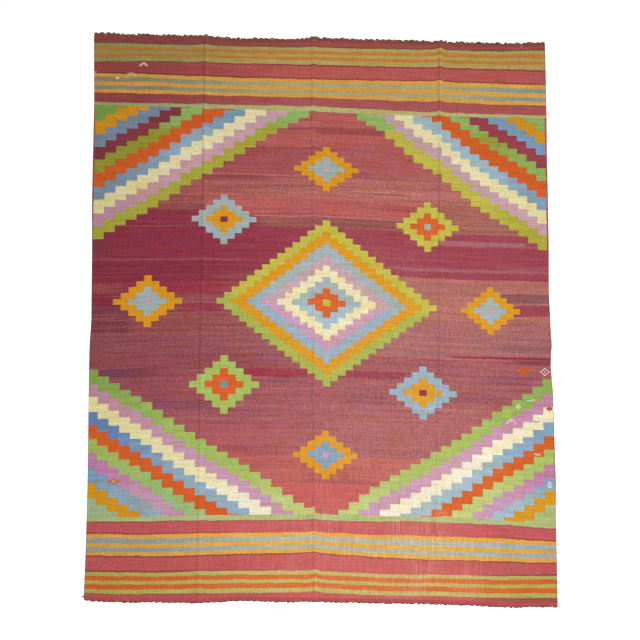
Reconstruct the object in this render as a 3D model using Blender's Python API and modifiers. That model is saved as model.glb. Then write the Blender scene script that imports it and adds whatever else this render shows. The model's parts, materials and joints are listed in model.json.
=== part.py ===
"""A large flat-woven kilim rug, laid open on the floor.

It is one sheet of slit tapestry with three soft fold creases along its length, and a finish of
knotted warp ends along its head and its foot. X runs across the rug, +Y along it towards the head
and +Z up, in metres. The origin lies on the floor, under the middle of the whole rug.

Run it with: blender --background --python part.py
"""

import math
import random
from collections import namedtuple

import bmesh
import bpy
import numpy as np
from mathutils import Vector

# ---- Driving dimensions, in metres ----------------------------------------------------------------

WIDTH = 2.400            # between the straight lines that the selvedges wander about
LENGTH = 2.952           # over the knots, at mid width
HEAD_SLOPE = -0.0220     # the head line's rise for each metre across: the wefts run down to the right
FOOT_SLOPE = -0.0142     # the foot line's rise for each metre across

CLOTH_THICK = 0.0025     # a weft-faced kilim in wool
KNOT_THICK = 0.0040      # the knotted warp ends, a little thicker than the cloth
PART_GAP = 0.0003        # between the cloth and each end finish

STRIP_DEEP = 0.0080      # the plaited strip that carries a row of knots
KNOT_PITCH = 0.0285      # from knot to knot, on average
KNOT_WIDE = (0.0110, 0.0170)     # a knot at its widest, the least and the most
KNOT_LONG = (0.0040, 0.0110)     # how far a knot stands out from its strip, the least and the most
KNOT_REACH = 0.0090      # how far the measured outline stands off the strip
KNOT_SHIFT = 0.45        # how far a knot may stray from its place, in shares of the room beside it
KNOT_SLANT = 0.2         # how far it may lean, in shares of its length
KNOT_NECK = 0.62         # a knot's root and its tip, as shares of its widest place
KNOT_WAIST = 0.45        # where along a knot it is widest
CORD_OUT = 0.0130        # the foot cord's free end, past the left corner
CORD_TIP = 0.6           # that end's width as a share of the strip's

CREASE_HALF = 0.030      # from a crease's ridge to where the cloth lies flat again
CREASE_STEPS = (-1.0, -0.6, -0.25, 0.25, 0.6, 1.0)   # columns beside each ridge, in those halves

# How far each selvedge stands out from its straight line, in millimetres, from the foot to the head.
Selvedge = namedtuple("Selvedge", "share left right")
SELVEDGES = (
    Selvedge(0.00, -1, 6),
    Selvedge(0.08, -6, 6),
    Selvedge(0.15, -8, 5),
    Selvedge(0.21, -9, 9),
    Selvedge(0.32, -6, 5),
    Selvedge(0.37, -5, 3),
    Selvedge(0.41, -5, -6),
    Selvedge(0.43, -5, -4),
    Selvedge(0.45, -7, 2),
    Selvedge(0.48, -12, -2),
    Selvedge(0.55, -10, -8),
    Selvedge(0.62, -8, -4),
    Selvedge(0.71, -3, -3),
    Selvedge(0.79, -4, -4),
    Selvedge(0.87, -5, -2),
    Selvedge(0.95, 0, -2),
    Selvedge(1.00, 3, -3),
)

# How far each end stands out from its straight line, in millimetres, from left to right.
End = namedtuple("End", "across head foot")
ENDS = (
    End(-1200, 0, 0),
    End(-1110, 0, 6),
    End(-980, -4, 8),
    End(-850, -3, 6),
    End(-700, -4, 6),
    End(-624, 0, 6),
    End(-560, -8, 2),
    End(-420, -14, -9),
    End(-300, -11, -6),
    End(-160, -11, -5),
    End(-80, -6, -8),
    End(-37, 6, -9),
    End(5, 1, -8),
    End(130, -2, -7),
    End(260, -5, -6),
    End(380, -4, -6),
    End(500, -6, -6),
    End(596, -6, -6),
    End(638, 1, -5),
    End(681, -8, -4),
    End(800, -9, -2),
    End(930, -9, 4),
    End(1000, -8, 6),
    End(1070, -6, 2),
    End(1170, 1, 0),
    End(1200, 0, 0),
)

# The creases left by folding the rug in quarters: where each one runs, and how high it stands.
Crease = namedtuple("Crease", "name head_across foot_across head_high foot_high")
CREASES = (
    Crease("left", -0.624, -0.613, 0.0045, 0.0025),
    Crease("middle", -0.037, -0.025, 0.0030, 0.0030),
    Crease("right", 0.638, 0.578, 0.0060, 0.0035),
)

MM = 0.001

# Each finish: its colour and how rough it is.
Look = namedtuple("Look", "colour roughness")
WOVEN_WOOL = Look((0.36, 0.07, 0.08, 1.0), 0.92)
WARP_YARN = Look((0.20, 0.11, 0.07, 1.0), 0.95)


# ---- The lie of the cloth -------------------------------------------------------------------------

def fold_line(head_across, share):
    """Where a line that runs along with the creases lies at a share of the length from the foot."""
    heads = [-WIDTH / 2] + [crease.head_across for crease in CREASES] + [WIDTH / 2]
    feet = [-WIDTH / 2] + [crease.foot_across for crease in CREASES] + [WIDTH / 2]
    foot_across = np.interp(head_across, heads, feet)
    return foot_across + (head_across - foot_across) * share


def end_places(side):
    """The end table's places across at the head (side 1) or the foot (side -1)."""
    share = 1.0 if side > 0 else 0.0
    return [float(fold_line(row.across * MM, share)) for row in ENDS]


def end_line(across, side):
    """An end of the whole rug, over its knots: a straight line and the table's wander outwards."""
    slope = HEAD_SLOPE if side > 0 else FOOT_SLOPE
    wander = [(row.head if side > 0 else row.foot) * MM for row in ENDS]
    return side * (LENGTH / 2 + np.interp(across, end_places(side), wander)) + slope * across


def cloth_end(across, side):
    """The cloth's own edge at an end, inside the end finish."""
    return end_line(across, side) - side * (KNOT_REACH + STRIP_DEEP + PART_GAP)


def selvedge(share, side):
    """The left (side -1) or right (side 1) selvedge at a share of the length from the foot."""
    shares = [row.share for row in SELVEDGES]
    wander = [(row.right if side > 0 else row.left) * MM for row in SELVEDGES]
    return side * (WIDTH / 2 + float(np.interp(share, shares, wander)))


def lift(across, share):
    """How far the cloth's underside stands off the floor: a raised cosine across each crease."""
    total = 0.0
    for crease in CREASES:
        ridge = fold_line(crease.head_across, share)
        high = crease.foot_high + (crease.head_high - crease.foot_high) * share
        off = min(abs(across - ridge) / CREASE_HALF, 1.0)
        total += high * (1.0 + math.cos(math.pi * off)) / 2
    return total


# ---- Pieces ---------------------------------------------------------------------------------------

def grid_indices(mesh, columns, rows):
    """Each point of a fresh unit grid with its column's and its row's number."""
    for vertex in mesh.verts:
        yield vertex, round((vertex.co.x + 0.5) * columns), round((vertex.co.y + 0.5) * rows)


def finish_object(mesh, name, thick, look, collection):
    """Makes the open underside an object, thickened upwards, with its own material."""
    bmesh.ops.recalc_face_normals(mesh, faces=mesh.faces)
    if sum(face.normal.z for face in mesh.faces) < 0:
        bmesh.ops.reverse_faces(mesh, faces=mesh.faces)
    data = bpy.data.meshes.new(name)
    mesh.to_mesh(data)
    mesh.free()
    piece = bpy.data.objects.new(name, data)
    collection.objects.link(piece)
    shell = piece.modifiers.new("thickness", "SOLIDIFY")
    shell.thickness = thick
    shell.offset = 1.0
    material = bpy.data.materials.new(name)
    material.use_nodes = True
    shader = material.node_tree.nodes["Principled BSDF"]
    shader.inputs["Base Color"].default_value = look.colour
    shader.inputs["Roughness"].default_value = look.roughness
    shader.inputs["Metallic"].default_value = 0.0
    data.materials.append(material)
    return piece


def make_cloth(collection):
    """The woven sheet: a grid with the selvedge table's rows, and columns at the end table's places
    and across each crease."""
    heads = [row.across * MM for row in ENDS]
    heads += [c.head_across + step * CREASE_HALF for c in CREASES for step in CREASE_STEPS]
    heads.sort()
    shares = [row.share for row in SELVEDGES]
    mesh = bmesh.new()
    bmesh.ops.create_grid(mesh, x_segments=len(heads) - 1, y_segments=len(shares) - 1, size=0.5)
    for vertex, column, row in grid_indices(mesh, len(heads) - 1, len(shares) - 1):
        share = shares[row]
        across = fold_line(heads[column], share)
        if column == 0:
            across = selvedge(share, -1)
        elif column == len(heads) - 1:
            across = selvedge(share, 1)
        foot = cloth_end(across, -1)
        along = foot + (cloth_end(across, 1) - foot) * share
        vertex.co = (across, along, lift(across, share))
    return finish_object(mesh, "kilim_cloth", CLOTH_THICK, WOVEN_WOOL, collection)


def knot_stations(chance, side):
    """The strip's stations from left to right, and whether a knot stands between each and the next."""
    corners = end_places(side)
    share = 1.0 if side > 0 else 0.0
    corners[0] = selvedge(share, -1)
    corners[-1] = selvedge(share, 1)
    places = [corners[0]]
    knotted = []
    for start, stop in zip(corners, corners[1:]):
        count = max(1, round((stop - start) / KNOT_PITCH))
        pitch = (stop - start) / count
        for number in range(count):
            neck = KNOT_NECK * chance.uniform(*KNOT_WIDE) * min(1.0, pitch / KNOT_PITCH)
            stray = chance.uniform(-KNOT_SHIFT, KNOT_SHIFT) * (pitch - neck) / 2
            middle = start + (number + 0.5) * pitch + stray
            places += [middle - neck / 2, middle + neck / 2]
            knotted += [False, True]
        places.append(stop)
        knotted.append(False)
    return places, knotted


def floor_step(across, along):
    """A level step."""
    return Vector((across, along, 0.0))


def draw_out(mesh, edge, away, spread):
    """Extrudes an edge by a vector, and spreads the new edge about its middle by a share."""
    made = bmesh.ops.extrude_edge_only(mesh, edges=[edge])["geom"]
    points = [item for item in made if isinstance(item, bmesh.types.BMVert)]
    middle = (points[0].co + points[1].co) / 2
    for point in points:
        point.co = middle + (point.co - middle) * spread
        point.co += away
    return next(item for item in made if isinstance(item, bmesh.types.BMEdge)
                and set(item.verts) == set(points))


def draw_knot(mesh, root, side, chance):
    """A four-sided lump drawn out of the strip's edge: it widens to its waist, then narrows."""
    long = chance.uniform(*KNOT_LONG)
    lean = chance.uniform(-KNOT_SLANT, KNOT_SLANT) * long
    to_waist = floor_step(lean / 2, side * long * KNOT_WAIST)
    to_tip = floor_step(lean / 2, side * long * (1.0 - KNOT_WAIST))
    waist = draw_out(mesh, root, to_waist, 1.0 / KNOT_NECK)
    draw_out(mesh, waist, to_tip, KNOT_NECK)


def draw_cord_end(mesh):
    """The last cord's free end, out past the left corner."""
    edge = min(mesh.edges, key=lambda item: max(point.co.x for point in item.verts))
    draw_out(mesh, edge, floor_step(-CORD_OUT, 0.0), CORD_TIP)


def make_end_finish(name, side, seed, collection):
    """A narrow strip along the cloth's end with a row of knots, each a four-sided lump on its root."""
    chance = random.Random(seed)
    places, knotted = knot_stations(chance, side)
    share = 1.0 if side > 0 else 0.0
    mesh = bmesh.new()
    bmesh.ops.create_grid(mesh, x_segments=len(knotted), y_segments=1, size=0.5)
    outer = {}
    for vertex, column, row in grid_indices(mesh, len(knotted), 1):
        across = places[column]
        inner_edge = cloth_end(across, side) + side * PART_GAP
        vertex.co = (across, inner_edge + side * STRIP_DEEP * row, 0.0)
        if row == 1:
            outer[column] = vertex
    for column, has_knot in enumerate(knotted):
        if has_knot:
            draw_knot(mesh, mesh.edges.get((outer[column], outer[column + 1])), side, chance)
    if side < 0:
        draw_cord_end(mesh)
    for vertex in mesh.verts:
        vertex.co.z = lift(vertex.co.x, share)
    return finish_object(mesh, name, KNOT_THICK, WARP_YARN, collection)


def centre_on_origin(pieces):
    """Moves the rug's points so that the origin lies under the middle of its whole box."""
    points = np.array([point.co for piece in pieces for point in piece.data.vertices])
    middle = (points.min(axis=0) + points.max(axis=0)) / 2
    for piece in pieces:
        for point in piece.data.vertices:
            point.co.x -= middle[0]
            point.co.y -= middle[1]


def clear_scene():
    """Removes whatever objects the file opened with."""
    for piece in list(bpy.data.objects):
        bpy.data.objects.remove(piece, do_unlink=True)


def main():
    clear_scene()
    collection = bpy.data.collections.new("kilim_rug")
    bpy.context.scene.collection.children.link(collection)
    pieces = [
        make_cloth(collection),
        make_end_finish("head_end_finish", 1, 7, collection),
        make_end_finish("foot_end_finish", -1, 11, collection),
    ]
    centre_on_origin(pieces)


main()
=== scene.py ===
"""A large flat-woven kilim rug, dressed for its picture.

The sheet is woven in wool: stripes across both ends, a fan of stepped bands in each corner, a
stepped medallion and eight small stepped diamonds on a streaky madder field. Places on the rug are
given in the table's own frame: x runs across, y along it towards the head, with the origin between
the straight selvedge lines and end lines. Places in the weave are (u, v): u is the warp's place
across, and v is the height of a weft where it crosses the middle fold, since no weft lies straight.
"""

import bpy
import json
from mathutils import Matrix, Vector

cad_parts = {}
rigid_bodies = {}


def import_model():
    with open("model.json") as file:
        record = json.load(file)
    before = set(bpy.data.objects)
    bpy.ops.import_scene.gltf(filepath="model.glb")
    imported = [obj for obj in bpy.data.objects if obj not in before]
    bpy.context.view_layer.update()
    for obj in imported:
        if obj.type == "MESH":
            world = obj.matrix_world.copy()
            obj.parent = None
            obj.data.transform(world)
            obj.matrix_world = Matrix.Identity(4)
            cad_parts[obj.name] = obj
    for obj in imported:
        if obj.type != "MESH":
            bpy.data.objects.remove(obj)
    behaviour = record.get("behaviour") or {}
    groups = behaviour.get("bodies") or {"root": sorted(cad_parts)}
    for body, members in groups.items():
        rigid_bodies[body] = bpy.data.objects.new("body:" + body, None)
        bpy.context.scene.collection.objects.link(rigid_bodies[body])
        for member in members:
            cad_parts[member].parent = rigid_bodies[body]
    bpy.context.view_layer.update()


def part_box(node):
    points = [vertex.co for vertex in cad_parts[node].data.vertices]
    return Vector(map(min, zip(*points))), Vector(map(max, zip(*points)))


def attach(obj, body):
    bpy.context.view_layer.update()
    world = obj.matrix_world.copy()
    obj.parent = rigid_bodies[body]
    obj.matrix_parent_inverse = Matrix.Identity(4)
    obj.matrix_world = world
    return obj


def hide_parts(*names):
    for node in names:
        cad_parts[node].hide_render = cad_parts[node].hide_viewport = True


bl_info = {
    "name": "Kilim rug",
    "version": (1, 0, 0),
    "blender": (4, 5, 0),
    "location": "3D View > Sidebar > Rug",
    "description": "Weaves a large kilim rug over its fixed model, with its end knots and small marks",
    "category": "Add Mesh",
}

import json
import math
import random
from collections import namedtuple

import bpy
import numpy as np
from bpy.props import FloatProperty, FloatVectorProperty, IntProperty, PointerProperty
from mathutils import Vector

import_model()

MM = 0.001
TAU = 2.0 * math.pi

# ---- The rug's outline and folds, as its fixed model has them ---------------------------------------

WIDTH = 2.400            # between the straight lines that the selvedges wander about
LENGTH = 2.952           # over the knots, at mid width
HEAD_SLOPE = -0.0220     # the head line's rise for each metre across
FOOT_SLOPE = -0.0142     # the foot line's rise for each metre across
PART_GAP = 0.0003        # between the cloth and each end finish
STRIP_DEEP = 0.0080      # the plaited strip that carries a row of knots
KNOT_PITCH = 0.0285      # from knot to knot, on average
KNOT_WIDE = (0.0110, 0.0170)     # a knot at its widest, the least and the most
KNOT_LONG = (0.0040, 0.0110)     # how far a knot stands out from its strip, the least and the most
KNOT_REACH = 0.0090      # how far the measured outline stands off the strip
KNOT_SHIFT = 0.45        # how far a knot may stray from its place, in shares of the room beside it
KNOT_SLANT = 0.2         # how far it may lean, in shares of its length
KNOT_NECK = 0.62         # a knot's root, as a share of its widest place
CORD_OUT = 0.0130        # the foot cord's free end, past the left corner
CREASE_HALF = 0.030      # from a crease's ridge to where the cloth lies flat again

# How far each selvedge stands out from its straight line, in millimetres, from the foot to the head.
Selvedge = namedtuple("Selvedge", "share left right")
SELVEDGES = (
    Selvedge(0.00, -1, 6),
    Selvedge(0.08, -6, 6),
    Selvedge(0.15, -8, 5),
    Selvedge(0.21, -9, 9),
    Selvedge(0.32, -6, 5),
    Selvedge(0.37, -5, 3),
    Selvedge(0.41, -5, -6),
    Selvedge(0.43, -5, -4),
    Selvedge(0.45, -7, 2),
    Selvedge(0.48, -12, -2),
    Selvedge(0.55, -10, -8),
    Selvedge(0.62, -8, -4),
    Selvedge(0.71, -3, -3),
    Selvedge(0.79, -4, -4),
    Selvedge(0.87, -5, -2),
    Selvedge(0.95, 0, -2),
    Selvedge(1.00, 3, -3),
)

# How far each end stands out from its straight line, in millimetres, from left to right.
End = namedtuple("End", "across head foot")
ENDS = (
    End(-1200, 0, 0),
    End(-1110, 0, 6),
    End(-980, -4, 8),
    End(-850, -3, 6),
    End(-700, -4, 6),
    End(-624, 0, 6),
    End(-560, -8, 2),
    End(-420, -14, -9),
    End(-300, -11, -6),
    End(-160, -11, -5),
    End(-80, -6, -8),
    End(-37, 6, -9),
    End(5, 1, -8),
    End(130, -2, -7),
    End(260, -5, -6),
    End(380, -4, -6),
    End(500, -6, -6),
    End(596, -6, -6),
    End(638, 1, -5),
    End(681, -8, -4),
    End(800, -9, -2),
    End(930, -9, 4),
    End(1000, -8, 6),
    End(1070, -6, 2),
    End(1170, 1, 0),
    End(1200, 0, 0),
)

# The folds: where each one runs, how far the wefts bow up over it at the head and at the foot, and,
# at the foot, half way and at the head, how high its ridge stands and how far it strays, in mm.
Crease = namedtuple("Crease", "name head_across foot_across head_bow foot_bow highs strays")
CREASES = (
    Crease("left", -0.624, -0.613, 6, 1, (2.5, 3.6, 4.8), (-8, 4, 16)),
    Crease("middle", -0.037, -0.025, 5, 7, (3.2, 3.0, 3.6), (-2, -2, -2)),
    Crease("right", 0.638, 0.578, 11, 1, (1.4, 5.0, 6.0), (8, 18, 0)),
)
CREASE_STEEP = 0.011     # from a ridge to the flat cloth on its left, where the rug was folded sharper
BOW_WIDE = 0.018         # how soon a bow dies away beside its fold
RIDGE_STRAY = 0.0015     # how far a ridge wanders by chance
FULL_PAINT_RIDGE = 0.005       # the ridge height at which a fold's painted shade and painted highlight have the strengths the next two lines say
PAINTED_SHADE_LINE = (-0.007, 0.007, 0.11)   # the painted shade's place beside its ridge, on its steep left side away from the light, its width, its strength
PAINTED_HIGHLIGHT_LINE = (0.010, 0.009, 0.06)    # the painted highlight's, on the ridge's lit right side

# ---- The weave --------------------------------------------------------------------------------------

HEAD_WEFT = 1.460        # the last wefts' height where the middle fold crosses them
FOOT_WEFT = -1.456

# How far some wefts rise off their height at the stations across, in millimetres.
STATIONS = (-1.18, -0.90, -0.62, -0.04, 0.30, 0.61, 0.90, 1.18)
Weft = namedtuple(
    "Weft", "name height left left_quarter left_fold right_inner right_fold right_quarter right"
)
WEFTS = (
    Weft("foot, red over green", -1.423, -6, -10, -5, -16, -20, -28, -29),
    Weft("foot, green under red", -1.313, -9, -12, -5, -18, -22, -29, -25),
    Weft("foot, gold over red", -1.224, -15, -20, -15, -27, -39, -46, -55),
    Weft("foot, light green edge", -1.059, -9, -10, -3, -9, -12, -24, -45),
    Weft("middle of the field", 0.059, -1, 7, 10, -18, -35, -47, -52),
    Weft("head, light green edge", 1.099, 23, 17, 12, -18, -34, -43, -50),
    Weft("head, gold over red", 1.246, 36, 30, 16, -6, -11, -22, -31),
    Weft("head, red over green", 1.331, 19, 22, 13, -8, -15, -22, -32),
    Weft("head, green under red", 1.421, 23, 19, 11, -7, -13, -19, -16),
)

# The stripes, going up: where each starts, its dye on the left, in the middle and at the far right.
Stripe = namedtuple("Stripe", "height left dye right")
HEAD_STRIPES = (
    Stripe(1.050, "spring", "spring_warm", "spring_warm"),
    Stripe(1.101, "oxblood", "brick_deep", "brick_deep"),
    Stripe(1.151, "honey", "honey", "honey_pale"),
    Stripe(1.169, "ash_dull", "ash_warm", "ash_grey"),
    Stripe(1.187, "honey", "honey", "honey_pale"),
    Stripe(1.208, "ash_dull", "ash_warm", "ash_grey"),
    Stripe(1.228, "honey", "honey", "honey_pale"),
    # A thin dark stripe at the top of the gold ones: painted shade along the seam where gold meets red.
    Stripe(1.2475, "bark", "oxblood", "oxblood"),
    Stripe(1.257, "brick_dark", "brick", "brick"),
    # A thin dark stripe between the red and the green: painted shade along their seam.
    Stripe(1.3205, "brown", "wine", "wine"),
    Stripe(1.328, "moss_deep", "moss_warm", "moss_warm"),
    Stripe(1.351, "amber_deep", "amber", "amber"),
    Stripe(1.370, "moss_deep", "moss_warm", "moss_warm"),
    Stripe(1.385, "amber_deep", "amber", "amber"),
    Stripe(1.404, "moss_deep", "moss_warm", "moss_warm"),
    Stripe(1.424, "brown", "brown", "brown"),
    Stripe(1.432, "oxblood", "brick_worn", "brick_worn"),
)
FOOT_STRIPES = (
    Stripe(-1.480, "brick_rich", "brick_pale", "brick_worn"),
    Stripe(-1.433, "brick_dark", "brick_pale", "brick_dark"),
    Stripe(-1.424, "moss", "moss_pale", "moss"),
    Stripe(-1.401, "flame", "flame_pale", "flame"),
    Stripe(-1.376, "moss", "moss_pale", "moss"),
    Stripe(-1.357, "flame", "flame_pale", "flame"),
    Stripe(-1.334, "moss", "moss_pale", "moss"),
    Stripe(-1.314, "oxblood", "brick_pale", "oxblood"),
    Stripe(-1.306, "brick_rich", "brick_pale", "brick_rich"),
    # A thin dark stripe at the top of the broad red one: painted shade along the seam where red meets gold.
    Stripe(-1.231, "oxblood", "brick_worn", "oxblood"),
    Stripe(-1.224, "honey", "honey_pale", "honey"),
    Stripe(-1.203, "ash_grey", "ash_pale", "ash"),
    Stripe(-1.185, "honey", "honey_pale", "honey"),
    Stripe(-1.165, "ash_grey", "ash_pale", "ash"),
    Stripe(-1.141, "honey", "honey_pale", "honey"),
    Stripe(-1.122, "brick_dark", "brick_pale", "brick_dark"),
    Stripe(-1.114, "brick_rich", "brick_pale", "brick_rich"),
    Stripe(-1.065, "brick_dark", "salmon", "brick_worn"),
    Stripe(-1.059, "sage", "sage", "sage"),
)
HEAD_EDGE = (1.076, 0.011)       # where the head's stripes start at mid width, and its rise for a metre out
FOOT_EDGE = (-1.029, -0.008)     # where the foot's stripes start

# A corner's fan: columns of equal width, whose bands climb one step from column to column. The bands
# are counted from the field to the corner: their dye near the selvedge, near mid width and close to
# the stripes, and their width.
Band = namedtuple("Band", "outer inner close wide")
Corner = namedtuple("Corner", "name start step columns edge rise side drift bands")
CORNERS = (
    Corner(
        "top left", -1.188, 0.0566, 20, 0.380, 0.0352, 1,
        ((0, 6), (2, 7), (4, -7), (7, -4), (8, 6), (10, -4), (13, 0), (16, 9), (19, -9)),
        (
            Band("lime", "lime", "fresh", 66), Band("pink", "lilac", "lilac", 66),
            Band("cream_warm", "cream", "cream", 70), Band("steel", "steel_pale", "azure_pale", 68),
            Band("orange", "orange", "orange", 76), Band("olive", "olive", "fresh", 68),
            Band("wine_deep", "wine", "wine_deep", 67), Band("steel", "steel", "steel", 68),
            Band("gold", "gold", "gold", 69), Band("grass_deep", "grass_deep", "grass_deep", 90),
        ),
    ),
    Corner(
        "top right", 0.195, 0.0496, 20, 1.047, -0.0353, 1,
        ((0, -7), (2, 14), (5, -2), (6, -9), (8, 4), (12, -17), (14, -8), (17, 10), (19, 9)),
        (
            Band("lime", "citron", "fresh", 78), Band("lilac", "dove", "dove", 62),
            Band("cream_warm", "cream", "cream", 70), Band("azure_pale", "sky", "sky", 69),
            Band("orange", "orange", "orange", 86), Band("fresh", "olive", "fresh", 69),
            Band("wine", "wine", "wine", 70), Band("azure_pale", "azure_pale", "azure_pale", 64),
            Band("gold", "gold", "gold", 65), Band("grass", "grass", "fresh", 90),
        ),
    ),
    Corner(
        "bottom left", -1.202, 0.0560, 21, -0.287, -0.0357, -1,
        ((0, -2), (3, -1), (5, 8), (7, -2), (10, -8), (13, 5), (16, 6), (19, -9), (20, 1)),
        (
            Band("leaf_deep", "leaf", "leaf_pale", 76), Band("pink", "lilac_cool", "lilac_cool", 62),
            Band("cream_warm", "cream", "cream_pale", 76), Band("azure", "steel_pale", "steel_pale", 67),
            Band("orange", "orange", "orange", 70), Band("leaf", "sage_green", "sage_green", 73),
            Band("mauve", "lilac_cool", "lilac_cool", 76), Band("azure_pale", "azure_pale", "steel_pale", 76),
            Band("gold", "gold", "gold", 76), Band("mint", "mint", "mint", 140),
        ),
    ),
    Corner(
        "bottom right", 0.094, 0.0528, 21, -1.002, 0.0350, -1,
        ((0, -2), (3, 14), (5, 5), (8, -10), (12, -13), (15, 4), (18, 0), (20, 12)),
        (
            Band("leaf_deep", "leaf", "leaf_pale", 78), Band("mauve", "lilac_cool", "lilac_cool", 67),
            Band("cream", "cream_pale", "cream_pale", 77), Band("azure_pale", "sky", "sky", 72),
            Band("orange", "orange", "orange", 71), Band("leaf", "leaf_pale", "leaf_pale", 77),
            Band("mauve", "lilac_cool", "lilac_cool", 71), Band("azure_pale", "sky", "sky", 63),
            Band("gold", "gold", "gold", 73), Band("fresh", "sage", "sage", 150),
        ),
    ),
)
CLOSE = {1: (0.975, 1.015), -1: (0.80, 0.98)}   # where bands take up their dye close to the stripes
DRIFT_SPAN = 60.0        # the millimetres between the ends of the scale on which drifts are kept

# Stepped diamonds: the middle block, the width and height of a step, and their rings from the
# middle out. A ring has the dye above the middle, the dye below it, and how many steps it takes.
Ring = namedtuple("Ring", "upper lower steps")
Diamond = namedtuple("Diamond", "name across height step rise rings")


def small_diamond(name, across, height, step, rise, outer, inner, middle):
    """A small diamond of three plain dyes, nine blocks wide and nine high."""
    rings = (Ring(middle, middle, 1), Ring(inner, inner, 2), Ring(outer, outer, 2))
    return Diamond(name, across, height, step, rise, rings)


DIAMONDS = (
    Diamond("medallion", 0.034, 0.060, 0.0395, 0.0300, (
        Ring("citron", "citron", 1),
        Ring("orange", "orange", 2),
        Ring("ash", "sky", 2),
        Ring("cream", "cream", 2),
        Ring("dove", "lilac_cool", 2),
        Ring("ash", "steel_pale", 2),
        Ring("gold", "gold", 2),
        Ring("citron", "fern", 2),
    )),
    small_diamond("top", 0.034, 0.769, 0.0379, 0.0262, "gold", "ash", "dove"),
    small_diamond("upper left", -0.503, 0.490, 0.0377, 0.0292, "ash", "gold", "crimson"),
    small_diamond("upper right", 0.563, 0.488, 0.0361, 0.0292, "citron", "orange", "ash"),
    small_diamond("left", -0.897, 0.059, 0.0400, 0.0297, "gold", "ash", "dove"),
    small_diamond("right", 0.886, 0.059, 0.0343, 0.0278, "gold", "ash", "dove"),
    small_diamond("lower left", -0.496, -0.371, 0.0403, 0.0333, "leaf", "orange", "steel"),
    small_diamond("lower right", 0.532, -0.389, 0.0387, 0.0310, "steel_pale", "gold", "garnet"),
    small_diamond("bottom", 0.028, -0.728, 0.0370, 0.0276, "gold", "azure_pale", "lilac_cool"),
)
FEATHER = 0.9            # how far the medallion's pink ring is feathered into its blue one, in steps
FEATHER_MIDDLE = 9.0     # the steps out from the middle where those two rings meet

# The field's slabs of dye, going down: each starts at its height, and has a dye left and right of
# the medallion. A slab's streaks are its share of the field's most.
Slab = namedtuple("Slab", "height left right streaks")
SLABS = (
    Slab(1.080, "rose", "rose", 0.3),
    Slab(0.985, "rose_warm", "rose", 0.4),
    Slab(0.890, "claret", "claret_pale", 0.5),
    Slab(0.735, "claret", "fawn_rose", 0.7),
    Slab(0.700, "russet", "fawn_rose", 1.0),
    Slab(0.610, "salmon", "salmon", 0.8),
    Slab(0.512, "taupe", "taupe", 1.0),
    Slab(0.457, "crimson", "crimson_pale", 0.2),
    Slab(0.277, "garnet", "crimson_pale", 0.3),
    Slab(0.223, "garnet", "tan_rose", 0.4),
    Slab(0.168, "cherry", "tan_rose", 0.4),
    Slab(0.100, "mallow_deep", "tan_rose", 0.8),
    Slab(0.000, "umber", "heather", 1.0),
    Slab(-0.100, "mallow_deep", "heather", 0.9),
    Slab(-0.205, "bordeaux", "mallow", 0.8),
    Slab(-0.330, "mallow_rich", "mallow", 0.9),
    Slab(-0.460, "mallow", "dotted_rose", 0.8),
    Slab(-0.580, "rose_dull", "dotted_rose", 0.6),
    Slab(-0.730, "rose", "rose", 0.4),
    Slab(-0.868, "rose_red", "rose_red", 0.2),
)
FIELD_HEAD = 1.080       # the span of heights on which the slabs are kept
FIELD_FOOT = -1.060

# Smaller patches and single lines of another dye, with their strength.
Patch = namedtuple("Patch", "left right low high dye strength")
PATCHES = (
    Patch(-0.30, 0.02, 0.977, 0.990, "bordeaux", 0.8),
    Patch(-0.02, 0.34, 0.960, 0.992, "claret", 1.0),
    Patch(-0.64, -0.08, 0.726, 0.735, "peach", 0.4),
    Patch(0.28, 0.80, 0.735, 0.757, "fawn_rose", 0.9),
    Patch(-0.78, -0.27, 0.700, 0.723, "bordeaux", 0.7),
    Patch(0.20, 0.56, 0.651, 0.658, "peach", 0.9),
    Patch(0.60, 0.74, 0.654, 0.660, "peach", 0.7),
    Patch(-1.30, -0.60, 0.541, 0.612, "umber", 0.9),
    Patch(-1.30, -0.50, 0.457, 0.541, "crimson", 1.0),
    Patch(-0.60, -0.34, 0.457, 0.512, "crimson", 1.0),
    Patch(0.58, 1.30, 0.457, 0.612, "tawny", 0.9),
    Patch(-0.36, 0.44, 0.509, 0.516, "peach", 0.5),
    Patch(-1.30, -1.07, 0.280, 0.385, "prune", 0.7),
    Patch(-1.30, -0.40, 0.273, 0.283, "mallow", 0.6),
    Patch(-1.30, -1.04, 0.103, 0.147, "umber", 0.9),
    Patch(-1.30, -0.97, 0.035, 0.100, "garnet", 1.0),
    Patch(-0.74, -0.50, 0.004, 0.046, "cherry", 0.8),
    Patch(-1.30, -0.98, -0.100, 0.034, "plum", 0.8),
    Patch(-0.43, -0.03, -0.327, -0.287, "berry", 1.0),
    Patch(-1.17, -0.85, -0.330, -0.282, "violet", 0.6),
    Patch(-1.30, -0.78, -0.455, -0.331, "bordeaux", 0.6),
    Patch(-0.90, -0.55, -0.496, -0.456, "violet", 0.45),
    Patch(-0.30, 0.36, -0.873, -0.864, "claret", 0.6),
    Patch(0.60, 1.08, 0.389, 0.418, "dusk", 0.8),
    Patch(0.35, 1.30, 0.257, 0.272, "dusk", 0.7),
    Patch(0.92, 1.30, 0.273, 0.293, "mallow", 0.7),
    Patch(0.93, 1.30, 0.101, 0.147, "smoke", 0.9),
    Patch(0.99, 1.30, 0.032, 0.092, "crimson_pale", 0.9),
    Patch(0.92, 1.30, -0.160, -0.117, "smoke", 0.6),
    Patch(0.68, 1.22, -0.196, -0.182, "berry", 1.0),
    Patch(1.00, 1.30, -0.224, -0.198, "prune", 0.7),
    Patch(0.25, 0.74, -0.222, -0.208, "berry", 0.6),
    Patch(0.08, 0.45, -0.323, -0.287, "berry", 0.9),
    Patch(0.83, 1.08, -0.331, -0.284, "violet", 0.38),
    Patch(0.70, 0.96, -0.440, -0.384, "violet", 0.25),
)
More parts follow.
